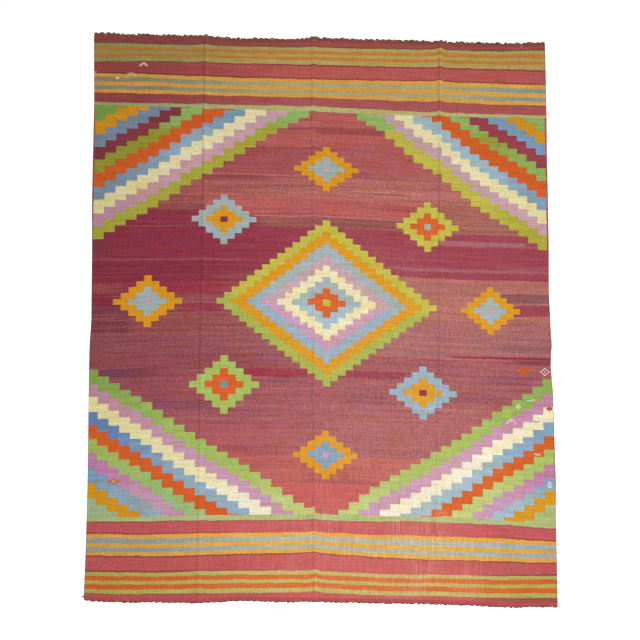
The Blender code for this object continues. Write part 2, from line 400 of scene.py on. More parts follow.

# Small brocaded marks, charted: one stitch for each hash, from the top row down.
CHARTS = {
    "lattice": (
        "....#....",
        "...#.#...",
        "..##.##..",
        ".#.###.#.",
        "###.#.###",
        ".#.###.#.",
        "..##.##..",
        "...#.#...",
        "....#....",
    ),
    "ringed diamond": (
        "...#...",
        "..#.#..",
        ".#...#.",
        "#..#..#",
        ".#...#.",
        "..#.#..",
        "...#...",
    ),
    "full diamond": (
        "...##...",
        ".######.",
        "###..###",
        ".######.",
        "...##...",
    ),
    "ring": (
        "..#..",
        ".#.#.",
        "#...#",
        ".#.#.",
        "..#..",
    ),
    "flat diamond": (
        "....#....",
        "..##.##..",
        "###...###",
        "..##.##..",
        "....#....",
    ),
    "chevron": (
        "....###....",
        "...#...#...",
        "..#..#..#..",
        ".#.......#.",
        "#.........#",
    ),
    "roof": (
        "...##...",
        "..####..",
        ".##..##.",
        "##....##",
    ),
    "arcs": (
        ".##..##.",
        "#..##..#",
    ),
    "wave": (
        "....###",
        "####...",
    ),
    "double ring": (
        ".##.",
        "#..#",
        ".##.",
        "#..#",
        ".##.",
    ),
    "dot": (
        ".##.",
        "####",
        ".##.",
    ),
    "dash": (
        "######",
    ),
}
Mark = namedtuple("Mark", "name chart across height wide high dye")
MARKS = (
    Mark("orange lattice", "lattice", 1.055, -0.253, 0.066, 0.055, "orange"),
    Mark("dark diamond", "full diamond", 1.163, -0.254, 0.034, 0.032, "oxblood"),
    Mark("ringed diamond", "ringed diamond", 1.163, -0.254, 0.044, 0.040, "cream_pale"),
    Mark("upper wave", "wave", 1.088, -0.405, 0.038, 0.009, "chalk"),
    Mark("white ring", "ring", 1.023, -0.440, 0.025, 0.026, "chalk"),
    Mark("brick diamond", "full diamond", 1.183, -0.445, 0.030, 0.021, "brick_dark"),
    Mark("white chevron", "chevron", 0.986, -0.520, 0.051, 0.026, "chalk"),
    Mark("green arcs", "arcs", 1.115, -0.514, 0.034, 0.009, "moss_deep"),
    Mark("lower arcs", "arcs", 1.117, -0.684, 0.033, 0.009, "chalk"),
    Mark("double ring", "double ring", 1.178, -0.836, 0.021, 0.031, "chalk"),
    Mark("gold diamond", "flat diamond", -1.058, -0.858, 0.062, 0.028, "flame"),
    Mark("gold diamond's heart", "dot", -1.058, -0.858, 0.030, 0.014, "gold_pale"),
    Mark("head chevron", "roof", -0.937, 1.309, 0.046, 0.023, "peach_pale"),
    Mark("head arch", "dot", -1.002, 1.252, 0.040, 0.010, "moss_warm"),
    Mark("head arch's foot", "dash", -1.000, 1.244, 0.044, 0.008, "sand_pale"),
    Mark("head dot", "dot", -1.074, 1.226, 0.018, 0.013, "chalk"),
)

# Loose ends of yarn: where each starts on the rug, which way it sets off in degrees, how far it
# bends on its way, its length, its thickness as a share of the others', and its dye.
LooseEnd = namedtuple("LooseEnd", "name across along heading bend long thick dye")
LOOSE_ENDS = (
    LooseEnd("left loop", -1.184, 1.292, 185.0, 165.0, 0.040, 2.6, "peach_pale"),
    LooseEnd("left loop's tail", -1.180, 1.298, 175.0, -40.0, 0.022, 1.6, "bark"),
    LooseEnd("right thread", 1.186, 1.220, 20.0, -70.0, 0.016, 1.0, "chalk"),
    LooseEnd("head fray", 1.066, 1.424, 60.0, 50.0, 0.020, 1.0, "sand"),
    LooseEnd("head fray's tail", 1.074, 1.420, 95.0, -40.0, 0.016, 1.0, "sand"),
    LooseEnd("lower right thread", 1.196, -1.02, -20.0, 60.0, 0.010, 1.0, "brick_pale"),
    LooseEnd("lower left thread", -1.185, -1.30, 190.0, -50.0, 0.009, 1.0, "brick_pale"),
)


def dye(label, red, green, blue, description):
    """A dye's property. Its levels are written as on a screen, from 0 to 255, as seen in mid light."""
    levels = [value / 255.0 for value in (red, green, blue)]
    linear = [x / 12.92 if x <= 0.04045 else ((x + 0.055) / 1.055) ** 2.4 for x in levels]
    return FloatVectorProperty(
        name=label, description=description, default=linear, subtype="COLOR", min=0.0, max=1.0
    )


def length(label, metres, description):
    """A length's property, in metres."""
    return FloatProperty(
        name=label, description=description, default=metres, min=0.0, unit="LENGTH", precision=4
    )


class DyeSettings(bpy.types.PropertyGroup):
    """The rug's dyes."""

    brick: dye("Brick", 196, 96, 90, "The broad red stripe at the head")
    brick_deep: dye("Deep brick", 178, 92, 91, "The other red stripes at the head")
    oxblood: dye("Oxblood", 158, 74, 74, "Red stripes at the head's left")
    brick_dark: dye("Dark brick", 167, 75, 76, "The broad red stripe at the head's left")
    brick_worn: dye("Worn brick", 174, 87, 80, "The last red stripe at the head")
    # Partly the yarn's own red and partly painted highlight: paler for the brighter light on the foot's
    # middle.
    brick_pale: dye("Pale brick", 206, 99, 98, "Red stripes at the foot")
    brick_rich: dye("Rich brick", 199, 91, 93, "Red stripes at the foot's left")
    rose: dye("Rose", 188, 98, 93, "The field's main dye")
    rose_warm: dye("Warm rose", 188, 94, 88, "A warmer slab near the head")
    rose_dull: dye("Dull rose", 174, 88, 93, "Slabs low on the left")
    rose_red: dye("Rose red", 202, 96, 94, "The field's brightest slab, at its foot")
    dotted_rose: dye("Dotted rose", 172, 98, 100, "Worn slabs low on the right")
    salmon: dye("Salmon", 187, 96, 91, "A warm slab above the medallion")
    peach: dye("Peach", 206, 130, 116, "Single pale lines of the field")
    claret: dye("Claret", 168, 82, 85, "Duller slabs near the head")
    claret_pale: dye("Pale claret", 178, 92, 92, "The same on the right")
    bordeaux: dye("Bordeaux", 150, 76, 82, "Dark slabs and lines on the left")
    russet: dye("Russet", 172, 93, 88, "Browner streaky slab")
    fawn_rose: dye("Fawn rose", 186, 111, 102, "The faded slabs near the head")
    tan_rose: dye("Tan rose", 178, 110, 101, "The faded slabs on the right")
    tawny: dye("Tawny", 172, 106, 92, "A brown slab on the right")
    taupe: dye("Taupe", 158, 90, 85, "The grey-brown slab above the medallion")
    umber: dye("Umber rose", 154, 80, 78, "Brownish slabs on the left")
    crimson: dye("Crimson", 147, 52, 72, "The deep slab on the left")
    crimson_pale: dye("Pale crimson", 162, 70, 84, "The deep slab on the right")
    garnet: dye("Garnet", 139, 50, 68, "The deepest slab")
    cherry: dye("Cherry", 156, 52, 72, "Short bright slabs on the left")
    berry: dye("Berry", 158, 52, 73, "Short bright slabs beside the medallion")
    plum: dye("Plum", 128, 60, 71, "Dark slabs at the left selvedge")
    prune: dye("Prune", 132, 58, 74, "Purplish streaks")
    violet: dye("Violet", 116, 62, 90, "A few purple streaks")
    smoke: dye("Smoke", 138, 90, 93, "Greyish slabs at the right selvedge")
    mallow: dye("Mallow", 164, 90, 95, "Dull pinkish slabs")
    mallow_rich: dye("Rich mallow", 159, 82, 90, "The same, redder")
    mallow_deep: dye("Deep mallow", 149, 80, 86, "The same, darker, on the left")
    heather: dye("Heather", 170, 105, 104, "Dull slabs low on the right")
    dusk: dye("Dusk", 170, 108, 114, "Greyish lines on the right")
    lime: dye("Lime", 174, 172, 60, "The upper fans' edge")
    citron: dye("Citron", 196, 188, 74, "The medallion's edge above")
    fern: dye("Fern", 170, 180, 80, "The medallion's edge below")
    leaf_deep: dye("Deep leaf", 138, 168, 80, "The lower fans' edge at the selvedges")
    leaf: dye("Leaf", 168, 190, 96, "The lower fans' edge")
    leaf_pale: dye("Pale leaf", 194, 206, 124, "The lower fans' edge near the foot")
    olive: dye("Olive", 156, 158, 54, "A band of the upper fans")
    fresh: dye("Fresh green", 150, 186, 100, "Greens close to the stripes")
    grass: dye("Grass", 122, 165, 98, "The upper right corner")
    grass_deep: dye("Deep grass", 133, 168, 77, "The upper left corner")
    spring: dye("Spring green", 163, 174, 115, "The edge of the head's stripes, on the left")
    spring_warm: dye("Warm spring green", 186, 186, 116, "The same on the right")
    sage: dye("Sage", 181, 192, 125, "The edge of the foot's stripes")
    sage_green: dye("Green sage", 160, 192, 122, "A lower band near the foot")
    mint: dye("Mint", 168, 188, 142, "The lower left corner")
    moss: dye("Moss", 184, 178, 92, "Green stripes")
    moss_deep: dye("Deep moss", 168, 157, 92, "Green stripes at the head's left")
    moss_warm: dye("Warm moss", 194, 170, 97, "Green stripes at the head")
    moss_pale: dye("Pale moss", 203, 189, 112, "Green stripes at the foot")
    gold: dye("Gold", 221, 153, 27, "Gold bands and stripes")
    honey: dye("Honey", 226, 166, 74, "Gold stripes")
    honey_pale: dye("Pale honey", 234, 176, 74, "Gold stripes at the foot")
    gold_pale: dye("Pale gold", 236, 186, 96, "The lower left mark")
    orange: dye("Orange", 218, 98, 40, "Orange bands and stripes")
    flame: dye("Flame", 219, 106, 46, "Orange stripes at the foot's left")
    flame_pale: dye("Pale flame", 226, 118, 58, "Orange stripes at the foot")
    amber: dye("Amber", 205, 137, 64, "Orange stripes at the head")
    amber_deep: dye("Deep amber", 196, 131, 66, "The same at the head's left")
    cream: dye("Cream", 238, 226, 178, "Cream bands")
    cream_warm: dye("Warm cream", 231, 221, 158, "Cream bands at the selvedges")
    cream_pale: dye("Pale cream", 244, 236, 206, "Cream bands near the foot")
    chalk: dye("Chalk", 246, 240, 222, "Small white marks")
    sand: dye("Sand", 214, 176, 140, "Pale warps and loose ends")
    sand_pale: dye("Pale sand", 236, 204, 150, "Pale marks at the head's left")
    peach_pale: dye("Pale peach", 236, 206, 186, "The same")
    pink: dye("Pink", 194, 142, 160, "Pink bands at the selvedges")
    lilac: dye("Lilac", 210, 163, 176, "Pink bands of the upper fans")
    lilac_cool: dye("Cool lilac", 204, 154, 180, "Pink bands of the lower fans")
    dove: dye("Dove", 200, 164, 170, "The greyest pink")
    mauve: dye("Mauve", 198, 127, 166, "The strongest pink")
    wine: dye("Wine", 160, 68, 78, "A dark band of the upper fans")
    wine_deep: dye("Deep wine", 138, 59, 66, "The same at the left selvedge")
    steel: dye("Steel blue", 127, 147, 168, "Blue bands of the left fans")
    steel_pale: dye("Pale steel blue", 150, 176, 192, "Blue bands near mid width")
    azure: dye("Azure", 102, 136, 188, "The deepest blue, at the lower left")
    azure_pale: dye("Pale azure", 128, 162, 190, "Blue bands at the selvedges")
    sky: dye("Sky", 164, 190, 198, "Blue bands of the right fans")
    ash: dye("Ash blue", 163, 179, 180, "The medallion's blue")
    ash_grey: dye("Ash grey", 153, 163, 156, "Blue stripes at the foot's left")
    ash_dull: dye("Dull ash blue", 153, 145, 122, "Blue stripes at the head's left")
    ash_warm: dye("Warm ash blue", 184, 174, 123, "Blue stripes at the head")
    ash_pale: dye("Pale ash blue", 184, 187, 171, "Blue stripes at the foot")
    tan: dye("Tan", 168, 130, 98, "Warp yarn in the end knots")
    brown: dye("Brown", 132, 88, 68, "Browner warp yarn there")
    bark: dye("Bark", 104, 66, 52, "Dark warp yarn there")
    khaki: dye("Khaki", 136, 116, 74, "Greenish warp yarn there")
    walnut: dye("Walnut", 96, 64, 52, "The darkest warp yarn there")


class ClothSettings(bpy.types.PropertyGroup):
    """The woven sheet."""

    thick: length("Thickness", 0.0025, "The cloth's thickness")
    selvedge_wide: length("Selvedge", 0.0070, "How wide the corded selvedge is")
    selvedge_more: FloatProperty(
        name="Selvedge bulge", description="How much thicker the selvedge is, as a share",
        default=0.35, min=0.0, max=1.0
    )
    cockle: length("Cockle", 0.0009, "How high the cloth's soft ripples stand")
    rib: length("Rib", 0.0042, "From warp to warp")
    beat: length("Beat", 0.0021, "From weft to weft")
    slit: length("Slit", 0.0018, "How far a slit darkens the cloth on each side of it")
    tick: length("Tick", 0.0106, "From one worn warp's pale tick to the next")
    even_columns: IntProperty(
        name="Columns", description="Even columns of the sheet's mesh", default=150, min=20
    )
    even_rows: IntProperty(name="Rows", description="Even rows of the mesh", default=144, min=20)


class FinishSettings(bpy.types.PropertyGroup):
    """The plaited strips and the knots at both ends."""

    head_more: length("Head's plait", 0.0070, "How much deeper the head's plait is than its solid strip")
    foot_more: length("Foot's plait", 0.0100, "How much deeper the foot's plait is than its solid strip")
    wrap_pitch: length("Plait pitch", 0.0095, "From one wrap of the plait to the next")
    wrap_thick: length("Wrap", 0.0030, "A wrap's width")
    knot_thick: length("Knot", 0.0040, "A knot's thickness")
    tail_long: length("Tail", 0.0022, "The longest cut end beyond a knot")


class MarkSettings(bpy.types.PropertyGroup):
    """The small brocaded marks and the loose ends."""

    stitch_thick: length("Stitch", 0.0012, "How thick a stitch is")
    yarn_thick: length("Loose yarn", 0.0016, "A loose end's thickness")


class StageSettings(bpy.types.PropertyGroup):
    """The floor, the lights and the camera."""

    floor: dye("Floor", 246, 246, 245, "The plain floor")
    floor_glow: FloatProperty(
        name="Floor glow", description="Light that the floor gives back evenly", default=0.50, min=0.0
    )
    key_power: FloatProperty(
        name="Key", description="The soft light low on the right", default=94.0, min=0.0,
        subtype="POWER"
    )
    fill_power: FloatProperty(
        name="Fill", description="The wide light overhead", default=71.0, min=0.0, subtype="POWER"
    )
    world: FloatProperty(name="World", description="The even light all round", default=0.08, min=0.0)
    tilt: FloatProperty(
        name="Camera tilt", description="From straight above, towards the foot",
        default=math.radians(6.0), subtype="ANGLE"
    )
    distance: length("Camera distance", 6.43, "From the camera to the middle of the picture")
    lens: FloatProperty(name="Lens", description="Focal length in millimetres", default=69.6, min=1.0)


SETTINGS = {
    "rug_dyes": DyeSettings,
    "rug_cloth": ClothSettings,
    "rug_finish": FinishSettings,
    "rug_marks": MarkSettings,
    "rug_stage": StageSettings,
}


# ---- The lie of the cloth, in the tables' frame -----------------------------------------------------

def fold_line(head_across, share):
    """Where a line that runs along with the folds lies at a share of the length from the foot:
    a straight line between its place at the head and its place at the foot, and the foot's place
    is read between the folds'."""
    heads = [-WIDTH / 2] + [crease.head_across for crease in CREASES] + [WIDTH / 2]
    feet = [-WIDTH / 2] + [crease.foot_across for crease in CREASES] + [WIDTH / 2]
    foot_across = np.interp(head_across, heads, feet)
    return foot_across + (head_across - foot_across) * share


def end_places(side):
    """The end table's places across at the head (side 1) or the foot (side -1)."""
    return [float(fold_line(row.across * MM, (1 + side) / 2)) for row in ENDS]


def cloth_end(across, side):
    """The cloth's own edge at an end: a straight line, the table's wander outwards, and the depth
    of the knots and their strip inwards."""
    slope = HEAD_SLOPE if side > 0 else FOOT_SLOPE
    wander = [(row.head if side > 0 else row.foot) * MM for row in ENDS]
    outline = side * (LENGTH / 2 + np.interp(across, end_places(side), wander)) + slope * across
    return outline - side * (KNOT_REACH + STRIP_DEEP + PART_GAP)


def selvedge(share, side):
    """The left (side -1) or right (side 1) selvedge at a share of the length from the foot."""
    shares = [row.share for row in SELVEDGES]
    wander = [(row.right if side > 0 else row.left) * MM for row in SELVEDGES]
    return side * (WIDTH / 2 + np.interp(share, shares, wander))


def ripple(across, along, seed, waves, shortest, longest):
    """A smooth random surface from -1 to 1: a sum of sine waves of random length and direction,
    divided by their number's square root."""
    chance = np.random.default_rng(seed)
    total = 0.0
    for _ in range(waves):
        wave = TAU / chance.uniform(shortest, longest)
        heading, phase = chance.uniform(0.0, TAU, 2)
        total = total + np.sin(wave * (across * math.cos(heading) + along * math.sin(heading)) + phase)
    return np.clip(total / math.sqrt(waves), -1.0, 1.0)


def ridge_offs(across, share):
    """For each fold, its ridge's height at a share of the length from the foot, and how far places
    lie to the right of that ridge, which wanders a little along the rug."""
    along = share * LENGTH
    found = []
    for number, crease in enumerate(CREASES):
        stray = np.interp(share, (0.0, 0.5, 1.0), crease.strays) * MM
        stray = stray + RIDGE_STRAY * ripple(0.0, along, 40 + number, 5, 0.15, 0.7)
        uneven = 0.85 + 0.15 * ripple(0.0, along, 50 + number, 5, 0.10, 0.6)
        high = np.interp(share, (0.0, 0.5, 1.0), crease.highs) * MM * uneven
        found.append((high, across - fold_line(crease.head_across, share) - stray))
    return found


def lift(across, share):
    """How far the cloth's underside stands off the floor over the folds: each ridge is half a
    raised cosine on either side of its top, steep on its left and broad on its right."""
    total = 0.0
    for high, off in ridge_offs(across, share):
        wide = np.where(off < 0.0, CREASE_STEEP, CREASE_HALF)
        total = total + high * (1.0 + np.cos(math.pi * np.minimum(np.abs(off) / wide, 1.0))) / 2
    return total


def fold_soil(across, share):
    """How much the painted light over a fold changes the cloth's colour: a painted shade, a bell on the steep
    left side of its ridge, and a painted highlight on its right, both by the ridge's height."""
    total = 0.0
    for high, off in ridge_offs(across, share):
        shade_line, highlight_line = (strength * np.exp(-(((off - at) / wide) ** 2))
                          for at, wide, strength in (PAINTED_SHADE_LINE, PAINTED_HIGHLIGHT_LINE))
        total = total + high / FULL_PAINT_RIDGE * (highlight_line - shade_line)
    return total


def weft_heights():
    """The heights of the wefts that the table names, with both ends."""
    return np.array([FOOT_WEFT] + [weft.height for weft in WEFTS] + [HEAD_WEFT])


def weft_lines(across):
    """Where the named wefts lie along the rug at each place across: the cloth's two ends, and
    between them each weft's height, its rise read between the stations, and a bow over each fold
    that dies away at both sides."""
    lines = [cloth_end(across, -1)]
    for weft in WEFTS:
        share = (weft.height - FOOT_WEFT) / (HEAD_WEFT - FOOT_WEFT)
        rises = [weft.left, weft.left_quarter, weft.left_fold, 0.0]
        rises += [weft.right_inner, weft.right_fold, weft.right_quarter, weft.right]
        line = weft.height + np.interp(across, STATIONS, np.array(rises) * MM)
        for crease in CREASES:
            bow = (crease.foot_bow + (crease.head_bow - crease.foot_bow) * share) * MM
            off = np.abs(across - fold_line(crease.head_across, share))
            line = line + bow * np.exp(-off / BOW_WIDE)
        lines.append(line)
    lines.append(cloth_end(across, 1))
    return np.array(lines)


def weft_height_at(across, along):
    """The weave's height v at places on the rug: read between the two named wefts beside it."""
    lines, heights = weft_lines(across), weft_heights()
    found = heights[0] + (along - lines[0])
    for low, high, start, stop in zip(lines, lines[1:], heights, heights[1:]):
        share = (along - low) / (high - low)
        found = np.where(share >= 0.0, start + share * (stop - start), found)
    return found


def along_at(across, height):
    """The place along the rug of a weave height v at places across: the way back."""
    lines, heights = weft_lines(across), weft_heights()
    found = lines[0]
    for low, high, start, stop in zip(lines, lines[1:], heights, heights[1:]):
        share = (height - start) / (stop - start)
        found = np.where(share >= 0.0, low + share * (high - low), found)
    return found


def end_corners(side):
    """Where the left and the right selvedge meet the head (side 1) or the foot (side -1)."""
    share = (1 + side) / 2
    return float(selvedge(share, -1)), float(selvedge(share, 1))


def frame_shift():
    """From the tables' frame to the fixed model's: the sheet's own lowest corner is its node's."""
    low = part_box("kilim_cloth")[0]
    left = float(selvedge(np.linspace(0.0, 1.0, 101), -1).min())
    places = np.array(end_places(-1)[1:-1] + list(end_corners(-1)))
    return np.array([low[0] - left, low[1] - cloth_end(places, -1).min(), 0.0])


def underside(across, share, cockle):
    """The cloth's underside: the folds' ridges and soft ripples, never below the floor."""
    along = (share - 0.5) * LENGTH
    soft = ripple(across, along * 0.6, 3, 9, 0.12, 0.5)
    return lift(across, share) + cockle * np.maximum(soft, 0.0) ** 2


def cloth_top(across, along, cloth):
    """The height of the cloth's upper side at places on the rug."""
    foot = cloth_end(across, -1)
    share = (along - foot) / (cloth_end(across, 1) - foot)
    return underside(across, share, cloth.cockle) + cloth.thick


# ---- Meshes -----------------------------------------------------------------------------------------

Shape = namedtuple("Shape", "points faces maps values")


def add_piece(name, shape, materials):
    """Makes a piece of the rug from a shape in the tables' frame, with its maps and values."""
    mesh = bpy.data.meshes.new(name)
    mesh.from_pydata((shape.points + frame_shift()).tolist(), [], shape.faces)
    for label, corners in shape.maps.items():
        layer = mesh.uv_layers.new(name=label)
        layer.uv.foreach_set("vector", np.asarray(corners, np.float32).ravel())
    for label, values in shape.values.items():
        kind, field = ("FLOAT", "value") if values.ndim == 1 else ("FLOAT_COLOR", "color")
        layer = mesh.attributes.new(label, kind, "POINT")
        layer.data.foreach_set(field, np.asarray(values, np.float32).ravel())
    for material in materials:
        mesh.materials.append(material)
    mesh.shade_smooth()
    mesh.validate()
    piece = bpy.data.objects.new(name, mesh)
    bpy.context.scene.collection.objects.link(piece)
    return piece


def joined(shapes):
    """Several shapes as one."""
    starts = np.cumsum([0] + [len(shape.points) for shape in shapes])
    faces = [[start + point for point in face]
             for start, shape in zip(starts, shapes) for face in shape.faces]
    maps = {label: np.concatenate([shape.maps[label] for shape in shapes]) for label in shapes[0].maps}
    values = {label: np.concatenate([shape.values[label] for shape in shapes])
              for label in shapes[0].values}
    return Shape(np.concatenate([shape.points for shape in shapes]), faces, maps, values)


def closed_sheet(top, under, weave, margin, values):
    """Two grids of rows and columns joined round their rim. The faces of the upper one run
    anticlockwise seen from above, those of the lower one clockwise, and the rim's face outwards."""
    rows, columns = top.shape[:2]
    number = np.arange(rows * columns).reshape(rows, columns)
    below = number + rows * columns
    upper = np.stack([number[:-1, :-1], number[:-1, 1:], number[1:, 1:], number[1:, :-1]], -1)
    lower = np.stack([below[:-1, :-1], below[1:, :-1], below[1:, 1:], below[:-1, 1:]], -1)
    rim = np.concatenate([number[0, :-1], number[:-1, -1], number[-1, :0:-1], number[:0:-1, 0]])
    after = np.roll(rim, -1)
    wall = np.stack([rim + rows * columns, after + rows * columns, after, rim], -1)
    faces = np.concatenate([upper.reshape(-1, 4), lower.reshape(-1, 4), wall])
    points = np.concatenate([top.reshape(-1, 3), under.reshape(-1, 3)])
    maps = {
        "weave": np.tile(weave.reshape(-1, 2), (2, 1))[faces.ravel()],
        "margin": np.tile(margin.reshape(-1, 2), (2, 1))[faces.ravel()],
    }
    both = {label: np.tile(value.ravel(), 2) for label, value in values.items()}
    return Shape(points, faces.tolist(), maps, both)


def tubes(paths, half_wide, half_high, sides, dyes):
    """Closed tubes along level paths, as one shape: round each of a path's points goes an ellipse,
    square to the path, whose width lies level. The map "yarn" has the length along the path and
    the turn around it, "lot" is a number of each tube's own, and "dye" is its colour."""
    count, rings = paths.shape[:2]
    run = np.gradient(paths, axis=1)
    run /= np.linalg.norm(run, axis=2, keepdims=True)
    across = np.cross([0.0, 0.0, 1.0], run)
    across /= np.linalg.norm(across, axis=2, keepdims=True)
    upright = np.cross(run, across)
    turn = np.arange(sides) * TAU / sides
    wide = np.broadcast_to(half_wide, (count, rings))[..., None, None]
    high = np.broadcast_to(half_high, (count, rings))[..., None, None]
    points = paths[:, :, None] + across[:, :, None] * wide * np.cos(turn)[:, None]
    points = points + upright[:, :, None] * high * np.sin(turn)[:, None]
    number = np.arange(count * rings * sides).reshape(count, rings, sides)
    onward = np.roll(number, -1, axis=2)
    quads = np.stack([number[:, :-1], onward[:, :-1], onward[:, 1:], number[:, 1:]], -1)
    caps = np.concatenate([number[:, 0, ::-1], number[:, -1]])
    steps = np.linalg.norm(np.diff(paths, axis=1), axis=2)
    run_on = np.concatenate([np.zeros((count, 1)), np.cumsum(steps, axis=1)], axis=1)
    run_on = np.broadcast_to(run_on[:, :, None], (count, rings, sides))
    here = np.broadcast_to(np.arange(sides) / sides, (count, rings - 1, sides))
    there = here + 1.0 / sides
    low, high_end = run_on[:, :-1], run_on[:, 1:]
    corners = np.stack([np.stack([low, here], -1), np.stack([low, there], -1),
                        np.stack([high_end, there], -1), np.stack([high_end, here], -1)], -2)
    cap_map = np.stack([run_on.reshape(-1)[caps], np.zeros(caps.shape)], -1)
    lots = np.random.default_rng(count + rings).uniform(0.0, 1.0, count)
    maps = {"yarn": np.concatenate([corners.reshape(-1, 2), cap_map.reshape(-1, 2)])}
    values = {"lot": np.repeat(lots, rings * sides),
              "dye": np.repeat(np.asarray(dyes, float), rings * sides, axis=0)}
    return Shape(points.reshape(-1, 3), quads.reshape(-1, 4).tolist() + caps.tolist(), maps, values)


# ---- Materials --------------------------------------------------------------------------------------

WOOL = {"Roughness": 0.90, "Specular IOR Level": 0.18, "Sheen Weight": 0.05, "Sheen Roughness": 0.5}

# Kinds of unevenness in the yarn, the dye and the weave: cells to a metre across and along, the
# noise's detail, its strength, and how far it is moved across. A fan's are by column, not by metre.
Uneven = namedtuple("Uneven", "across along detail strength shift", defaults=(1.0, 1.0, 0.0))
RAGGED_TURNS = Uneven(5.0, 150.0, 2.0, 0.14)
EDGE_WAVER = Uneven(1.7, 3.0, 1.0, 0.008)
EDGE_TREMBLE = Uneven(14.0, 26.0, 1.0, 0.003)
SIDE_MIX = Uneven(1.5, 70.0, 2.0, 0.30)
THIN_STREAKS = Uneven(3.4, 190.0, 2.0)
BROAD_STREAKS = Uneven(1.2, 60.0, shift=7.0)
FAN_MIX = Uneven(0.7, 30.0, 1.0, 3.0)
FAN_CLOSE_MIX = Uneven(0.7, 30.0, 1.0, 0.06)
RING_FEATHERS = Uneven(26.0, 150.0)
RING_MIX = Uneven(3.0, 90.0, 1.0, 0.05)
STRIPE_WAVER = Uneven(6.0, 8.0, 1.0, 0.0040)
STRIPE_TREMBLE = Uneven(21.0, 9.0, 1.0, 0.0022)
WEFT_STRAY = Uneven(22.0, 26.0, 1.0, 0.0016)
WARP_STRAY = Uneven(9.0, 30.0, 1.0, 0.0012)
END_MOTTLE = Uneven(150.0, 90.0, 2.0)
HUES = Uneven(15.0, 85.0)
CASTS = Uneven(6.0, 40.0, shift=5.0)
YARN_LOTS = Uneven(1.1, 18.0, 2.0, 0.08)
YARNS = Uneven(9.0, 170.0, 1.0, 0.20)
YARN_DASHES = Uneven(78.0, 165.0)
WEAR = Uneven(3.0, 5.0, 1.0, 0.35, 3.0)
WARP_LINES = Uneven(105.0, 16.0)
TICK_CLUSTERS = Uneven(14.0, 22.0, 1.0, 1.2)
BARE_PATCHES = Uneven(6.0, 2.0, shift=2.0)
FINE_RELIEF = Uneven(55.0, 85.0, 1.0, 0.00035)
BROAD_RELIEF = Uneven(9.0, 60.0, 1.0, 0.0005)

WEAR_MIDDLE = (0.35, -0.7)       # the most worn place of the field, across and along
RIB_HIGH = 0.00045               # the relief of the ribs, and of the wefts' beat over them, in metres
BEAT_HIGH = 0.00012
TWIST_LONG = 0.0045              # one turn of a yarn's twist


class Number:
    """A number at a socket of a material. The usual signs on it add the Math nodes."""

    def __init__(self, looks, socket):
        self.looks = looks
        self.socket = socket

    def math(self, operation, *others):
        """A Math node with this number first."""
        return self.looks.math(operation, self, *others)

    def __add__(self, other):
        return self.math("ADD", other)

    __radd__ = __add__

    def __mul__(self, other):
        return self.math("MULTIPLY", other)

    __rmul__ = __mul__

    def __sub__(self, other):
        return self.math("SUBTRACT", other)

    def __rsub__(self, other):
        return self.looks.math("SUBTRACT", other, self)

    def __truediv__(self, other):
        return self.math("DIVIDE", other)

    def __abs__(self):
        return self.math("ABSOLUTE")

    def __gt__(self, other):
        return self.math("GREATER_THAN", other)

    def __lt__(self, other):
        return self.math("LESS_THAN", other)

    def floor(self):
        return self.math("FLOOR")

    def fraction(self):
        return self.math("FRACT")

    def sine(self):
        return self.math("SINE")

    def eased(self, low, high):
        """Rises from 0 at low to 1 at high along an S-curve."""
        node = self.looks.node(
            "ShaderNodeMapRange", {"interpolation_type": "SMOOTHSTEP"},
            {"Value": self, "From Min": low, "From Max": high},
        )
        return Number(self.looks, node.outputs["Result"])


